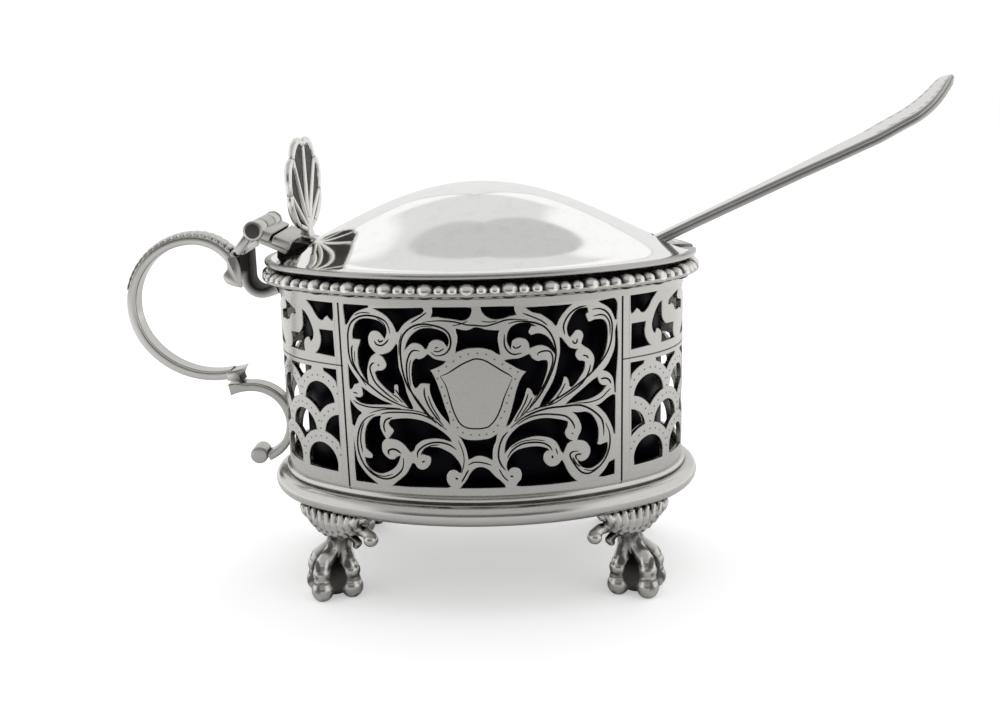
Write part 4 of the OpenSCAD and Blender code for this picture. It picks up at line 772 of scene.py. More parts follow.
for x, y in ((0.3, 21.6), (1.6, 21.4), (2.8, 20.6), (4, 19.8), (5.2, 19.1), (6.3, 18.5), (5.9, 17.4),
             (5.25, 16), (4.85, 14.9), (4.5, 13.75), (4.15, 12.4), (3.6, 11.4), (3.05, 10.25), (2.4, 9.3),
             (1.3, 8.9), (0.2, 8.8), (-1.1, 21.5), (-2.3, 21.1), (-3.4, 20.4), (-4.5, 19.6), (-5.7, 18.9),
             (-5.9, 17.7), (-5.3, 16.4), (-4.9, 15), (-4.55, 13.9), (-4.2, 12.5), (-3.7, 11.2), (-3.1, 10),
             (-2.3, 9.2), (-1.1, 8.85)):
    dots.append((Vector((x, y)), Vector((0.6, 0.8))))
graved = []
for points, width in graver_lines:
    line = smooth_line(points)
    run = len(line) - 1
    swells = [0.35 + 0.65 * min(1, 6 * i / run, 6 * (run - i) / run) for i in range(run + 1)]
    graved.append(([(place, width * swell) for place, swell in zip(line, swells)], 1))
for top, foot in ((-22.3, -21.9), (23.65, 23.4)):
    graved.append(([(Vector((foot + (top - foot) * k / 8, -1 + 31.4 * k / 8)), 0.32) for k in range(9)], 1))
bar_start, bar_length = end_start - 1.2, end_finish - end_start + 2.4
for height in (18.85, 18.75):
    bar = [Vector((bar_start + bar_length * k / 60, height)) for k in range(61)]
    graved.append(([(place, 0.14) for place in bar], 0.7))
dot_widths = ((-0.15, 0.1), (-0.08, 0.27), (0.08, 0.27), (0.15, 0.1))
for place, way in dots:
    graved.append(([(place + way * d, w) for d, w in dot_widths], 0.62))
engraving = cut_lines("engraving", graved)

# The wall's silver is set dark, partly for its tarnish and partly as painted shade.
sheet_silver = silver("sheet_silver", (0.50, 0.489, 0.465), 0.27, 0.55, 0.5 * mm, (1, 1, 5), 0.07)
lower_band = strip_round_oval("lower_band", [(-0.8, base_high - 0.3), (0, base_high - 0.3),
                                             (0, window_low - 0.1), (-0.8, window_low - 0.1)])
upper_band = strip_round_oval("upper_band", [(-0.8, window_high), (0, window_high),
                                             (0.12, window_high + 0.8), (0.32, wall_top), (-0.8, wall_top)])
for piece in (front_sheet, end_sheet, lower_band, upper_band, engraving):
    fit(piece, sheet_silver, "pot", "silver", "pierced_wall")

# Rim.
# Flared silver strip on the top of the wall with a cast border of beads and reels along its edge,
# dark where beads and reels meet and with painted shade under them. Each bead has a reel on either side,
# and a loop sets them round the rim.

rim_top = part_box("rim_moulding")[1][2] / mm
rim_strip = strip_round_oval(
    "rim_strip",
    [(0, wall_top - 0.9), (0.3, wall_top - 0.72), (0.5, wall_top - 0.4), (1.1, wall_top - 0.22),
     (1.9, wall_top - 0.1), (2.5, wall_top + 0.05), (2.62, rim_top - 0.3), (2.5, rim_top - 0.05),
     (-0.8, rim_top), (-0.8, wall_top), (0, wall_top)],
)
fit(rim_strip, sheet_silver, "pot", "silver", "rim_moulding")
bead_count, first_bead, bead_out, reel_shift = 30, 0.85, 1.15 * mm, 0.34
bead_size, reel_size = (1.62, 1.55, 1.25), (1.14, 1.45, 1.05)
pitch = 4 * quarter / bead_count
beads = []
for i in range(bead_count):
    for shift, size in ((0, bead_size), (-reel_shift, reel_size), (reel_shift, reel_size)):
        u = (i + first_bead + shift) * pitch
        here, ahead = on_oval(u, bead_out, (rim_top + 0.05) * mm), on_oval(u + 0.01 * mm, bead_out, 0)
        way = math.atan2(ahead.y - here.y, ahead.x - here.x)
        bpy.ops.mesh.primitive_uv_sphere_add(segments=20, ring_count=12, radius=mm, location=here,
                                             rotation=(0, 0, way), scale=size)
        beads.append(bpy.context.object)
        dark = tarnish_and_shade_of(beads[-1])
        # Each bead and reel darkens towards its ends, where they meet, and on its underside as painted
        # shade.
        for vertex in beads[-1].data.vertices:
            end, under = abs(vertex.co.x) / mm, -vertex.co.z / mm
            dark[vertex.index].value = min(max((end - 0.86) * 8, (under - 0.5) * 4, 0), 0.95)
beading = solder("beading", beads)
bpy.ops.object.transform_apply(location=True, rotation=True, scale=True)
bpy.ops.object.shade_smooth()
bead_silver = silver("bead_silver", (0.78, 0.765, 0.735), 0.2, 1.1, 0.9 * mm)
fit(beading, bead_silver, "pot", "silver", "rim_beading")

# Glass liner.
# Dark cobalt glass, moulded in one piece, hanging in the wall by its flange. It looks black through
# the piercing, so the plain liner stays and takes the glass.

cobalt_glass = bpy.data.materials.new("cobalt_glass")
cobalt_glass.use_nodes = True
nodes, links = cobalt_glass.node_tree.nodes, cobalt_glass.node_tree.links
glass = nodes["Principled BSDF"]
glass.inputs["IOR"].default_value = 1.5
glass.inputs["Specular IOR Level"].default_value = 0.06
place = nodes.new("ShaderNodeTexCoord")
swirl = nodes.new("ShaderNodeTexNoise")
swirl.inputs["Scale"].default_value = 90
links.new(place.outputs["Object"], swirl.inputs["Vector"])
tint = nodes.new("ShaderNodeMix")
tint.data_type = "RGBA"
tint.inputs["A"].default_value = (0.001, 0.001, 0.003, 1)
tint.inputs["B"].default_value = (0.002, 0.002, 0.006, 1)
links.new(swirl.outputs["Fac"], tint.inputs["Factor"])
links.new(tint.outputs["Result"], glass.inputs["Base Color"])
clear = nodes.new("ShaderNodeMapRange")
clear.inputs["To Min"].default_value = 0.3
clear.inputs["To Max"].default_value = 0.42
links.new(swirl.outputs["Fac"], clear.inputs["Value"])
links.new(clear.outputs["Result"], glass.inputs["Roughness"])
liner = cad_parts["glass_liner"]
liner.data.materials.clear()
liner.data.materials.append(cobalt_glass)

# Handle.
# Two scrolls bent from strap: the main one with a cast, ribbed back and a rolled heart at the top,
# and a plain lower one with a small roll at its end, soldered to each other, the bracket and the wall.

strap_thick = 1.5
bracket_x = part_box("handle_scroll")[1][0] / mm
shoulder = Vector((bracket_x - 7.4 - strap_thick / 2, 50.1))
grip = shoulder - Vector((0, 3.8))
sweep = grip + 2.7 * Vector((0.8, 0.6))
tail = Vector((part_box("handle_tail")[1][0] / mm - 7.25 + 0.8, 25.4))


def bend(centre, radius, start, end, steps):
    """Points along a bend in the handle's upright plane, from one angle to another in degrees."""
    turns = [math.radians(start + (end - start) * i / steps) for i in range(steps + 1)]
    return [centre + radius * Vector((math.cos(t), math.sin(t))) for t in turns]


def bent_strap(name, line, section, swell=None, half=2.75, dark=None):
    """Strap of a section along a line in the handle's plane, with swellings and dark lines."""
    strap = blank_curve(name)
    add_line(strap, [(place.x * mm, place.y * mm) for place in line], swell)
    sweep_along(strap, [(thick * mm, across * mm) for thick, across in section])
    for vertex in strap.data.vertices:
        vertex.co.z = min(max(vertex.co.z, -half * mm), half * mm)
    if dark:
        tarnish_and_painted_shade = tarnish_and_shade_of(strap)
        for vertex in strap.data.vertices:
            tarnish_and_painted_shade[vertex.index].value = dark.get(vertex.index % len(section), 0)
    strap.rotation_euler = (math.pi / 2, 0, 0)
    bpy.ops.object.transform_apply(location=True, rotation=True, scale=True)
    bpy.ops.object.mode_set(mode="EDIT")
    bpy.ops.mesh.select_all(action="SELECT")
    bpy.ops.mesh.fill_holes(sides=0)
    face_outwards()
    bpy.ops.object.shade_smooth_by_angle(angle=math.radians(40))
    return strap


def rounded(name, kind, at, size, edge, turn=(0, 0, 0)):
    """Block or drum with its edges rounded off, in millimetres."""
    if kind == "block":
        bpy.ops.mesh.primitive_cube_add(size=mm, location=Vector(at) * mm, rotation=turn, scale=size)
    else:
        bpy.ops.mesh.primitive_cylinder_add(vertices=48, radius=mm, depth=mm, location=Vector(at) * mm,
                                            rotation=turn, scale=size)
    made = bpy.context.object
    made.name = name
    bpy.ops.object.transform_apply(location=True, rotation=True, scale=True)
    bpy.ops.object.mode_set(mode="EDIT")
    bpy.ops.mesh.select_all(action="DESELECT")
    bpy.ops.mesh.edges_select_sharp(sharpness=math.radians(40))
    bpy.ops.mesh.bevel(offset=edge * mm, segments=3, affect="EDGES")
    bpy.ops.object.mode_set(mode="OBJECT")
    bpy.ops.object.shade_smooth_by_angle(angle=math.radians(40))
    return made


def cut_block(name, outline, half, edge):
    """Solid cut to an outline in the handle's plane, with its edges rounded off, in millimetres."""
    made = draw_line(name, [Vector((p[0] * mm, -half * mm, p[1] * mm)) for p in outline], True)
    bpy.ops.mesh.edge_face_add()
    bpy.ops.mesh.extrude_region_move(TRANSFORM_OT_translate={"value": (0, 2 * half * mm, 0)})
    bpy.ops.mesh.select_all(action="SELECT")
    bpy.ops.mesh.normals_make_consistent(inside=False)
    bpy.ops.mesh.select_all(action="DESELECT")
    bpy.ops.mesh.edges_select_sharp(sharpness=math.radians(60))
    bpy.ops.mesh.bevel(offset=edge * mm, segments=2, affect="EDGES")
    bpy.ops.object.mode_set(mode="OBJECT")
    bpy.ops.object.shade_smooth_by_angle(angle=math.radians(25))
    return made


strap_section = [(-0.78, -1.35), (-0.66, -1.44), (-0.66, -1.56), (-0.74, -1.64), (-0.62, -1.76),
                 (-0.4, -1.82), (0.4, -1.82), (0.62, -1.76), (0.74, -1.64), (0.66, -1.56), (0.66, -1.44),
                 (0.78, -1.35)]
strap_section += [(thick, -across) for thick, across in reversed(strap_section)]
strap_lines = {k: 0.85 for k in (1, 2, 9, 10, 13, 14, 21, 22)}
main_line = bend(shoulder, 7.4, 6, 90, 20) + bend(grip, 11.2, 90, 216.87, 44)[1:]
main_line += bend(sweep, 13.9, 216.87, 282, 28)[1:]
ribs = []
back_line = bend(shoulder, 8.25, 14, 90, 9) + bend(grip, 12.05, 90, 165, 13)[1:]
for i, (here, ahead) in enumerate(zip(back_line, back_line[1:])):
    middle, way = (here + ahead) / 2, ahead - here
    bpy.ops.mesh.primitive_uv_sphere_add(
        segments=16, ring_count=10, radius=mm, location=(middle.x * mm, 0, middle.y * mm),
        rotation=(0, -math.atan2(way.y, way.x), 0), scale=(way.length * 0.95, 1.95, 0.8 - 0.026 * i),
    )
    ribs.append(bpy.context.object)
    bpy.ops.object.transform_apply(location=True, rotation=True, scale=True)
    bpy.ops.object.shade_smooth()
heart = cut_block("heart", smooth_ring(
    [(-42.4, 54.4), (-42.4, 53.2), (-42.5, 52.4), (-43.1, 51.7), (-43.2, 50.9), (-42.7, 50.1),
     (-41.6, 49.6), (-40.3, 49.3), (-40.1, 50.2), (-39.9, 52.2), (-40.3, 53.7), (-40.9, 54.8)]), 1.95, 0.22)
flare = cut_block("flare", [(-43.9, 33.2), (-42.7, 33.0), (-41.3, 32.9), (-41.6, 33.9), (-40.8, 35.4),
                            (-42.2, 35.05), (-43.9, 34.8)], 1.86, 0.12)
painted_end_shade = tarnish_and_shade_of(flare)
# Painted shade: the flare is darkened at its right end face and the corner next to it.
for vertex in flare.data.vertices:
    painted_end_shade[vertex.index].value = 0.93 if vertex.co.x > -41.9 * mm and vertex.co.z < 34.9 * mm else 0
neck = rounded("neck", "block", (-42.6, 0, 32.9), (1.6, 3.4, 1.2), 0.2)
bent_silver = silver("bent_silver", (0.60, 0.587, 0.56), 0.22, 1.1, 1.0 * mm)
main_strap = bent_strap("main_scroll", main_line, strap_section, dark=strap_lines)
handle = solder("main_scroll", [main_strap, heart, flare, neck] + ribs)
fit(handle, bent_silver, "pot", "silver", "handle_scroll")
tail_line = [tail + Vector((-3.6 + 0.6 * k, 6.5 - 0.35 * max(0, 1 - k / 3))) for k in range(6)]
tail_line += bend(tail, 6.5, 90, -68.9, 40)
tail_swell = [0.92 + 0.3 * max(0, 1 - i / 5) for i in range(len(tail_line))]
lying = (math.pi / 2, 0, 0)
tail_end = rounded("tail_end", "drum", (tail.x + 0.7, 0, tail.y - 5.7), (1.5, 1.5, 3.9), 0.3, lying)
tail_strap = bent_strap("lower_scroll", tail_line, strap_section, tail_swell, 1.8, strap_lines)
tail_strap = solder("lower_scroll", [tail_strap, tail_end])
# The lower scroll takes a darker copy of the main scroll's silver, as painted shade.
scroll_silver = silver("scroll_silver", (0.50, 0.488, 0.462), 0.24, 1.2, 1.0 * mm)
fit(tail_strap, scroll_silver, "pot", "silver", "handle_tail")

# Bracket and hinge pin.
# A hooked strap holds the handle to the rim and carries the two outer knuckles of the hinge on short
# arms, with painted shade on the inner faces of the hook and towards its top. The near-black pin runs
# through all knuckles and shows its flat end.

pin_low, pin_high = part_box("hinge_pin")
hinge_x, hinge_z = (pin_low.x + pin_high.x) / 2 / mm, (pin_low.z + pin_high.z) / 2 / mm
hook_section = [(-0.8, -2.5), (-0.72, -2.7), (-0.5, -2.75), (0.5, -2.75), (0.72, -2.7), (0.8, -2.5),
                (0.8, 2.5), (0.72, 2.7), (0.5, 2.75), (-0.5, 2.75), (-0.72, 2.7), (-0.8, 2.5)]
hook_centre = Vector((bracket_x + 3.4, wall_top - 0.2))
hook_line = [Vector((bracket_x + 0.8, 56.6 - k * 0.6)) for k in range(8)]
hook_line += bend(hook_centre, 2.6, 180, 278, 20)
hook_line += [hook_centre + Vector(p) for p in ((1.0, -2.45), (1.8, -2.2), (2.6, -1.9))]
bracket_pieces = [bent_strap("bracket", hook_line, hook_section)]
bracket_painted_shade = tarnish_and_shade_of(bracket_pieces[0])
# Painted shade darkens the inner faces of the hook and the strap towards its top.
for vertex in bracket_pieces[0].data.vertices:
    place = Vector((vertex.co.x, vertex.co.z)) / mm
    inward = 3.4 - (place - hook_centre).length if place.y < hook_centre.y else place.x - bracket_x
    bracket_painted_shade[vertex.index].value = min(max(inward * 0.9 - 0.15, (place.y - 50.5) * 0.5, 0), 0.96)
bracket_pieces.append(rounded("arm", "block", (bracket_x + 0.9, 0, 56.1), (1.5, 11, 1.5), 0.3))
for hand in (-1, 1):
    bracket_pieces.append(rounded("knuckle", "drum", (hinge_x, hand * 5.6, hinge_z), (1.5, 1.5, 4.8), 0.22,
                                  lying))
    bracket_pieces.append(rounded("collar", "drum", (hinge_x, hand * 7.7, hinge_z), (1.62, 1.62, 0.7), 0.2,
                                  lying))
    bracket_pieces.append(rounded("stay", "block", (bracket_x + 2.1, hand * 6.3, 57.7), (1.4, 2.8, 4.4),
                                  0.3, (0, math.radians(38), 0)))
bracket = solder("bracket", bracket_pieces)
fit(bracket, bent_silver, "pot", "silver", "handle_bracket")
near_black_pin = silver("near_black_pin", (0.09, 0.087, 0.083), 0.4, 0.8, 0.5 * mm)
pin_pieces = [rounded("pin", "drum", (hinge_x, 0, hinge_z), (0.74, 0.74, 16.2), 0.1, lying)]
for hand in (-1, 1):
    pin_pieces.append(rounded("head", "drum", (hinge_x, hand * 8.05, hinge_z), (1.2, 1.2, 0.4), 0.12,
                              lying))
fit(solder("pin", pin_pieces), near_black_pin, "pot", "darkened_silver", "hinge_pin")

# Lid.
# Raised from sheet: a polished oval dome that flattens out to a stiff edge, with a three-cornered
# notch for the spoon at one end. The dome is drawn ring by ring from its edge to its crown.

lid_low, lid_top = (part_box("lid_edge_band")[i][2] / mm for i in (0, 1))
dome_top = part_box("lid_dome")[1][2] / mm
lid_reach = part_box("lid_edge_band")[1][0] / mm - half_length / mm
dome_reach = lid_reach - 1
rings = 26


def dome_height(x):
    """Height of the dome's face along the middle of the lid, in millimetres."""
    share = x / (half_length / mm + dome_reach)
    return lid_top + (dome_top - lid_top) * max(0, 1 - share * share) ** 1.5


def thicken(sheet, gauge):
    """Give a drawn sheet its gauge, inwards from its face, in millimetres."""
    inward = sheet.modifiers.new("gauge", "SOLIDIFY")
    inward.thickness = gauge * mm
    inward.offset = -1
    bpy.ops.object.modifier_apply(modifier="gauge")


def saw_away(piece, waste):
    """Saw a piece away where the waste stands, and throw the waste out."""
    bpy.ops.object.select_all(action="DESELECT")
    piece.select_set(True)
    bpy.context.view_layer.objects.active = piece
    saw = piece.modifiers.new("saw", "BOOLEAN")
    saw.object = waste
    saw.solver = "EXACT"
    bpy.ops.object.modifier_apply(modifier="saw")
    bpy.data.objects.remove(waste)
    bpy.ops.object.shade_smooth_by_angle(angle=math.radians(35))


dome = draw_line("dome", [Vector((0, -half_width - dome_reach * mm, lid_top * mm))], False)
spin_round_oval()
bpy.ops.object.mode_set(mode="EDIT")
bpy.ops.mesh.select_all(action="SELECT")
shares = [math.cos(math.pi / 2 * (k / rings)) for k in range(rings + 1)]
heights = [(dome_top - lid_top) * (1 - s * s) ** 1.5 for s in shares]
for k in range(1, rings):
    bpy.ops.mesh.extrude_edges_move(TRANSFORM_OT_translate={"value": (0, 0,
                                                                      (heights[k] - heights[k - 1]) * mm)})
    shrink = shares[k] / shares[k - 1]
    bpy.ops.transform.resize(value=(shrink, shrink, 1), center_override=(0, 0, 0))
bpy.ops.mesh.extrude_edges_move(TRANSFORM_OT_translate={"value": (0, 0, (heights[-1] - heights[-2]) * mm)})
bpy.ops.mesh.merge(type="COLLAPSE")
bpy.ops.mesh.select_all(action="SELECT")
bpy.ops.mesh.remove_doubles(threshold=0.001 * mm)
face_outwards()
thicken(dome, 0.8)
notch_x = half_length / mm - 5.2
notch = draw_line("notch", [Vector((x * mm, y * mm, (lid_low - 2) * mm)) for x,
                            y in ((notch_x, -2), (notch_x + 6, -5), (60, -5), (60, 5), (notch_x + 6, 5),
                                  (notch_x, 2))], True)
bpy.ops.mesh.edge_face_add()
bpy.ops.mesh.extrude_region_move(TRANSFORM_OT_translate={"value": (0, 0, 16 * mm)})
face_outwards()
saw_away(dome, notch)
mirror_silver = silver("mirror_silver", (0.955, 0.95, 0.93), 0.07, 0.7, 0.5 * mm, (1, 1, 1), 0.02)
fit(dome, mirror_silver, "lid", "polished_silver", "lid_dome")
lid_edge = strip_round_oval(
    "lid_edge",
    [(-1.9, lid_low), (1.3, lid_low), (1.75, lid_low + 0.28), (2.02, lid_low + 0.38), (2.1, lid_low + 0.5),
     (2.1, lid_top - 0.28), (2.02, lid_top - 0.1), (1.85, lid_top - 0.01), (1.6, lid_top), (-1.9, lid_top)],
)
slot = rounded("slot", "block", (half_length / mm + 3, 0, lid_low), (20, 4, 6), 0.1)
saw_away(lid_edge, slot)
# The lid's edge takes a much darker copy of the dome's silver, as painted shade.
edge_silver = silver("edge_silver", (0.46, 0.452, 0.435), 0.28, 0.8, 0.6 * mm, (1, 1, 5), 0.05)
fit(lid_edge, edge_silver, "lid", "polished_silver", "lid_edge_band")

# Hinge leaf and web.
# Stepped plate with cross grooves and the lid's middle knuckle, sloping down to the thumbpiece, and
# the web under it that joins it to the end of the lid, painted black as the shade under the plate.

slope = math.radians(24)
leaf_pieces = [rounded("middle_knuckle", "drum", (hinge_x, 0, hinge_z), (1.5, 1.5, 5.9), 0.2, lying)]
step_sizes = ((0.4, 2.2, 0.75, 14.4, 1.5), (2.95, 3.1, 0.7, 15, 1.4), (0.8, 5, -0.2, 14.2, 1.2))
for start, length, lift, wide, thick in step_sizes:
    middle = start + length / 2
    step_x = hinge_x + middle * math.cos(slope) + lift * math.sin(slope)
    step_z = hinge_z - middle * math.sin(slope) + lift * math.cos(slope) - 0.9
    step_size = (length, wide, thick)
    leaf_pieces.append(rounded("step", "block", (step_x, 0, step_z), step_size, 0.22, (0, slope, 0)))
leaf = solder("leaf", leaf_pieces)
worn_silver = silver("worn_silver", (0.52, 0.508, 0.482), 0.3, 1.5, 1.3 * mm, (1, 1, 1), 0.2)
fit(leaf, worn_silver, "lid", "silver", "hinge_leaf")
# Near black, used as painted shade: on the web under the hinge plate and on the sheet behind the
# thumbpiece's ribs.
black_painted_shade = silver("black_painted_shade", (0.022, 0.021, 0.019), 0.4, 0.9, 1.2 * mm)
web_top = [(-33.0, 57.2), (-31.5, 57.4), (-28.6, 57.0), (-27.8, dome_height(-27.8) - 0.3)]
web_foot = [(x, dome_height(x) - 0.3) for x in (-29.4, -31, -32.4)] + [(-33.2, lid_top - 0.1)]
web = cut_block("web", web_top + web_foot, 4.9, 0.2)
fit(web, black_painted_shade, "lid", "darkened_silver", "hinge_web")

# Thumbpiece.
# Cast openwork shell that the thumb presses: bright ribs that fan out from a stalk to a scalloped
# edge, over a black sheet set in its openings as painted shade.

root_x = (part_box("thumbpiece")[0].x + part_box("thumbpiece")[1].x) / 2 / mm
shell_root, shell_tip = 58.6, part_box("thumbpiece")[1][2] / mm
tall, wide = (shell_tip - shell_root) / 2, 8.3


def rod(name, places, radii):
    """Round rod through a few places, with its own radius at each, in millimetres."""
    made = blank_curve(name, "3D")
    made.data.bevel_depth = mm
    made.data.bevel_resolution = 4
    made.data.use_fill_caps = True
    add_line(made, [Vector(place) * mm for place in places], radii)
    bpy.ops.object.convert(target="MESH")
    bpy.ops.object.mode_set(mode="EDIT")
    bpy.ops.mesh.select_all(action="SELECT")
    bpy.ops.mesh.remove_doubles(threshold=0.0005 * mm)
    face_outwards()
    bpy.ops.object.shade_smooth()
    return made


def on_shell(turn, share, lift=0):
    """Place on the shell, by its turn from upright, its share of the way out and its lift."""
    edge = 2 * math.cos(turn) / tall / ((math.sin(turn) / wide) ** 2 + (math.cos(turn) / tall) ** 2)
    y, z = edge * share * math.sin(turn), edge * share * math.cos(turn)
    return Vector((root_x - 0.01 * z + 0.128 * y + lift, y, shell_root + z))


lobes, half_spread = 6, math.radians(74)
lobe_turn = 2 * half_spread / lobes
shell_pieces = []
for i in range(lobes + 1):
    turn = -half_spread + lobe_turn * i
    shares = [k / 10 for k in range(10)]
    shell_pieces.append(rod("rib", [on_shell(turn, s, 0.1) for s in shares],
                            [0.58 - 0.16 * s for s in shares]))
for i in range(lobes):
    places, radii = [], []
    for k in range(13):
        turn = -half_spread + lobe_turn * (i + k / 12)
        rise = math.sin(math.pi * k / 12)
        places.append(on_shell(turn, 0.88 + 0.07 * rise ** 0.7))
        radii.append(0.5 + 0.12 * rise)
    shell_pieces.append(rod("scallop", places, radii))
stalk_x = root_x + 0.9
stalk = [(stalk_x, 0, dome_height(stalk_x) + 0.6), (root_x + 0.4, 0, 56), (root_x, 0, 58.2),
         (root_x - 0.1, 0, 60.8)]
stalk_radii = [2.2 - 1.35 * (k / 12) ** 0.6 for k in range(13)]
shell_pieces.append(rod("stalk", smooth_line(stalk), stalk_radii))
shell = solder("shell", shell_pieces)
shell_silver = silver("shell_silver", (0.78, 0.765, 0.735), 0.2, 1.0, 0.9 * mm)
fit(shell, shell_silver, "lid", "silver", "thumbpiece")
# Black sheet behind the ribs: painted shade in the shell's openings.
fan = [on_shell(-half_spread + lobe_turn * k / 4, 0.9) for k in range(4 * lobes + 1)]
fan.append(Vector((root_x, 0, shell_root)))
shell_shade_sheet = draw_line("shell_shade_sheet", [(p - Vector((0.17, 0, 0))) * mm for p in fan], True)
bpy.ops.mesh.edge_face_add()
bpy.ops.mesh.extrude_region_move(TRANSFORM_OT_translate={"value": (0.34 * mm, 0, 0)})
face_outwards()
fit(shell_shade_sheet, black_painted_shade, "lid", "silver", "thumbpiece")

# Spoon.
# Forged silver: a flat stem that leaves the lid by its notch, widens to an upturned, pointed tip with
# a row of small cuts along its edge, and runs down to a round bowl inside the liner.

spoon_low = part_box("spoon")[0] / mm
stem_x = half_length / mm - 2
stem_z = dome_height(stem_x) + 1.3
stem_rise = math.tan(math.radians(24.7))
bowl_radius, bowl_depth = 8.6, 5.2
bowl_lip = math.sqrt(bowl_radius ** 2 - (bowl_radius - bowl_depth) ** 2)
bowl_x = spoon_low.x + bowl_lip
elbow = Vector((bowl_x + bowl_lip + 4, stem_z - (stem_x - bowl_x - bowl_lip - 4) * stem_rise))
stem_line = [Vector((bowl_x + bowl_lip - 0.6, spoon_low.z + bowl_depth - 0.7)), elbow - Vector((0.8, 0.6)),
             elbow]
stem_stops = (10, 20, stem_x, 36, 40, 44, 48, 52, 55, 58, 61)
stem_line += [Vector((x, stem_z + (x - stem_x) * stem_rise)) for x in stem_stops]
stem_line += smooth_line([Vector(p) for p in (
    (64, stem_z + (64 - stem_x) * stem_rise), (67.5, 73.3), (70.4, 74.9), (72.6, 76.6), (74.2, 78.3),
    (75.5, 79.9), (76.4, 80.8))])
side = [(-0.8, -0.6), (-0.8, -0.74), (-0.8, -0.89), (-0.72, -0.97), (-0.56, -1), (-0.2, -1), (0, -0.985),
        (0.2, -1), (0.56, -1), (0.72, -0.97), (0.8, -0.89), (0.8, -0.74), (0.8, -0.6)]
stem_section = side + [(thick, -across) for thick, across in reversed(side)]
thin_tip = [min(1, 0.35 + 0.16 * (len(stem_line) - 1 - i)) for i in range(len(stem_line))]
# Painted shade greys the side faces of the stem (0.45), and a dark line runs along the middle of each
# (0.85).
side_shade_and_lines = {6: 0.85, 19: 0.85} | {k: 0.45 for k in (3, 4, 5, 7, 8, 9, 16, 17, 18, 20, 21, 22)}
stem = bent_strap("stem", stem_line, stem_section, thin_tip, 9, side_shade_and_lines)
widths = ((-99, 1.4), (37, 1.4), (52, 2.6), (58.7, 3.8), (65.3, 4.6), (70, 4.7), (72.5, 4.0), (74.2, 3.1),
          (75.5, 2.0), (76.6, 0.9))
cuts = stem.data.attributes["tarnish_and_painted_shade"]
for vertex in stem.data.vertices:
    x = min(max(vertex.co.x / mm, -90), 76.6)
    for (here, first), (there, last) in zip(widths, widths[1:]):
        if here <= x <= there:
            half = first + (last - first) * (x - here) / (there - here)
    ring, corner = divmod(vertex.index, len(stem_section))
    if corner in (1, 11, 14, 24) and x > 63 and ring % 2:
        cuts.data[vertex.index].value = 0.8
    vertex.co.y *= half
bpy.ops.mesh.primitive_uv_sphere_add(segments=64, ring_count=32, radius=bowl_radius * mm,
                                     location=(bowl_x * mm, 0, (spoon_low.z + bowl_radius) * mm))
bowl = bpy.context.object
bpy.ops.object.transform_apply(location=True, rotation=True, scale=True)
bpy.ops.object.mode_set(mode="EDIT")
bpy.ops.mesh.select_all(action="SELECT")
bpy.ops.mesh.bisect(plane_co=(0, 0, (spoon_low.z + bowl_depth) * mm), plane_no=(0, 0, 1), clear_outer=True)
bpy.ops.object.mode_set(mode="OBJECT")
thicken(bowl, 0.8)
bpy.ops.object.shade_smooth_by_angle(angle=math.radians(40))
spoon = solder("mustard_spoon", [stem, bowl])
spoon_silver = silver("spoon_silver", (0.80, 0.79, 0.765), 0.18, 0.9, 0.6 * mm, (1, 1, 1), 0.05)
fit(spoon, spoon_silver, "spoon", "polished_silver", "spoon")

# Table, light and camera.
# White paper under a light tent: a bright roof that is greyer overhead, white sides, a pale back
# wall and a dark opening on the camera's side, as the polished lid and mouldings show them.

bpy.ops.mesh.primitive_plane_add(size=6)
table = bpy.context.object
table.name = "table"
paper = bpy.data.materials.new("white_paper")
paper.use_nodes = True
nodes, links = paper.node_tree.nodes, paper.node_tree.links
nodes.clear()


def work(operation, *values):
    """One step of arithmetic in the tree that is being drawn."""
    step = nodes.new("ShaderNodeMath")
    step.operation = operation
    for socket, value in zip(step.inputs, values):
        if isinstance(value, (int, float)):
            socket.default_value = value
        else:
            links.new(value, socket)
    return step.outputs["Value"]


def fade(value, start, end, first=0.0, last=1.0):
    """Soft step from one level to another."""
    step = nodes.new("ShaderNodeMapRange")
    step.interpolation_type = "SMOOTHSTEP"
    for name, number in (("From Min", start), ("From Max", end), ("To Min", first), ("To Max", last)):
        step.inputs[name].default_value = number
    links.new(value, step.inputs["Value"])
    return step.outputs["Result"]


def blend(share, first, last):
    """Level between two others."""
    return work("MULTIPLY_ADD", share, work("SUBTRACT", last, first), first)


seen = nodes.new("ShaderNodeLightPath")
place = nodes.new("ShaderNodeTexCoord")
spot = nodes.new("ShaderNodeSeparateXYZ")
links.new(place.outputs["Object"], spot.inputs["Vector"])
# Painted light: for reflected rays the paper glows only to the sides of the pot and not in front of it, so
# the silver shows a lit table there.
lit_sides = work(
    "MULTIPLY", fade(work("ABSOLUTE", spot.outputs["X"]), 0.06, 0.16), fade(spot.outputs["Y"], -0.4, -0.25)
)
mirrored = work("MAXIMUM", seen.outputs["Is Glossy Ray"], seen.outputs["Is Transmission Ray"])
shown = work("MAXIMUM", seen.outputs["Is Camera Ray"], work("MULTIPLY", mirrored, lit_sides))
sheet = nodes.new("ShaderNodeBsdfDiffuse")
sheet.inputs["Color"].default_value = (0.8, 0.8, 0.8, 1)
glow = nodes.new("ShaderNodeEmission")
links.new(work("MULTIPLY", shown, 0.42), glow.inputs["Strength"])
both = nodes.new("ShaderNodeAddShader")
links.new(sheet.outputs["BSDF"], both.inputs[0])
links.new(glow.outputs["Emission"], both.inputs[1])
surface = nodes.new("ShaderNodeOutputMaterial")
links.new(both.outputs["Shader"], surface.inputs["Surface"])
table.data.materials.append(paper)

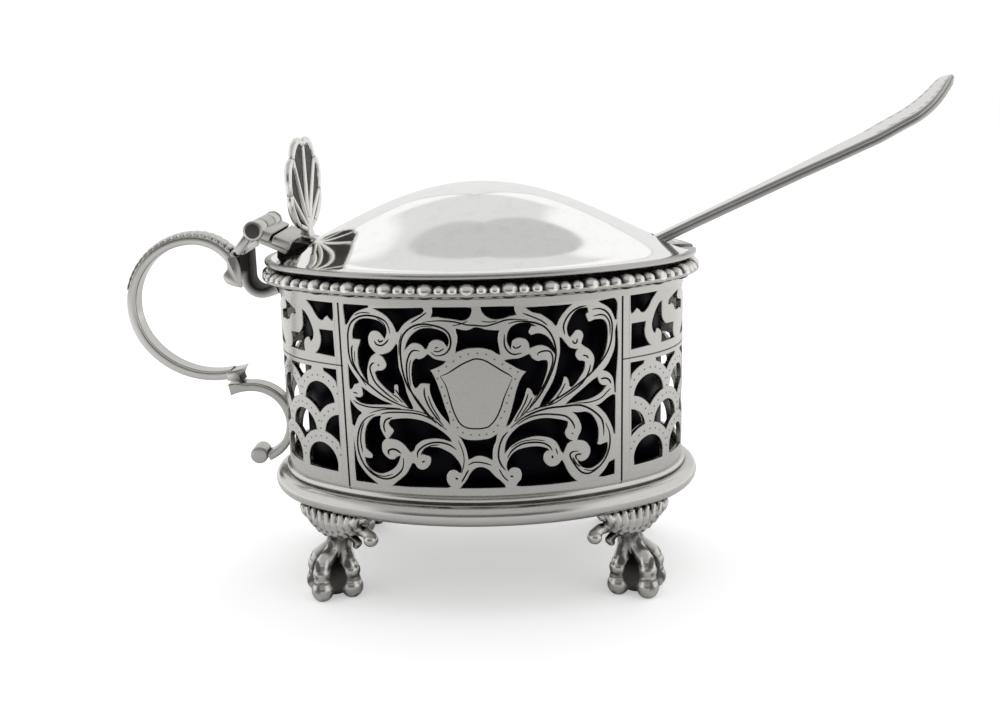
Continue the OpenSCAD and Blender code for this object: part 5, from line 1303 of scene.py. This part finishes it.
tent = bpy.data.worlds.new("light_tent")
bpy.context.scene.world = tent
tent.use_nodes = True
nodes, links = tent.node_tree.nodes, tent.node_tree.links
nodes.clear()
way = nodes.new("ShaderNodeTexCoord")
parts = nodes.new("ShaderNodeSeparateXYZ")
links.new(way.outputs["Generated"], parts.inputs["Vector"])
x, y, z = (parts.outputs[axis] for axis in "XYZ")
aside = work("ABSOLUTE", work("ADD", x, 0.05))


def behind(degrees):
    """How far a direction lies behind a plane that leans back from upright."""
    lean = math.radians(degrees)
    return work("SUBTRACT", work("MULTIPLY", y, math.cos(lean)), work("MULTIPLY", z, math.sin(lean)))


roof = blend(work("MAXIMUM", fade(aside, 0.28, 0.34), fade(behind(42), -0.03, 0.03)), 0.76, 1.0)
lens = work("MULTIPLY_ADD", work("MAXIMUM", x, 0), -0.65, behind(17))
lens = work("MULTIPLY_ADD", work("MINIMUM", x, 0), 0.2, lens)
roof = blend(fade(lens, -0.012, 0.012), 0.58, roof)
eaves = work("SUBTRACT", work("MULTIPLY_ADD", aside, -0.8, 0.76), z)
roof = blend(work("MULTIPLY", fade(eaves, -0.02, -0.008), fade(y, 0.0, 0.2)), roof, 0.62)
roof = blend(work("MULTIPLY", fade(eaves, -0.006, 0.01), fade(y, 0.0, 0.2)), roof, 0.84)
opening = work("MULTIPLY", fade(y, -0.15, -0.5), fade(z, 0.6, 0.3))
roof = blend(opening, roof, 0.16)
roof = blend(fade(aside, 0.52, 0.75), roof, 1.0)
seen = nodes.new("ShaderNodeLightPath")
backdrop = nodes.new("ShaderNodeBackground")
links.new(blend(seen.outputs["Is Camera Ray"], roof, 1.0), backdrop.inputs["Strength"])
sky = nodes.new("ShaderNodeOutputWorld")
links.new(backdrop.outputs["Background"], sky.inputs["Surface"])
backdrop.inputs["Color"].default_value = (1, 1, 1, 1)

bpy.ops.object.light_add(type="AREA", location=(0, 0.1, 0.6))
overhead = bpy.context.object
overhead.name = "overhead_light"
overhead.data.shape = "RECTANGLE"
overhead.data.size, overhead.data.size_y = 0.8, 0.6
overhead.data.energy = 1.2
overhead.visible_glossy = False

yaw, pitch, roll = math.radians(2.5), math.radians(13), math.radians(1.65)
bpy.ops.object.camera_add()
camera = bpy.context.object
camera.data.lens = 42.12
camera.data.sensor_width = 36
camera.data.shift_x = 0.0175
camera.data.clip_start = 0.01
camera_reach, camera_height = 195 * mm, 81.4 * mm
stand_off = Vector((camera_reach * math.sin(yaw), -camera_reach * math.cos(yaw), camera_height))
camera.matrix_world = (
    Matrix.Translation(stand_off)
    @ Matrix.Rotation(yaw, 4, "Z")
    @ Matrix.Rotation(math.pi / 2 - pitch, 4, "X")
    @ Matrix.Rotation(-roll, 4, "Z")
)
bpy.context.scene.camera = camera
bpy.context.scene.view_settings.view_transform = "Standard"
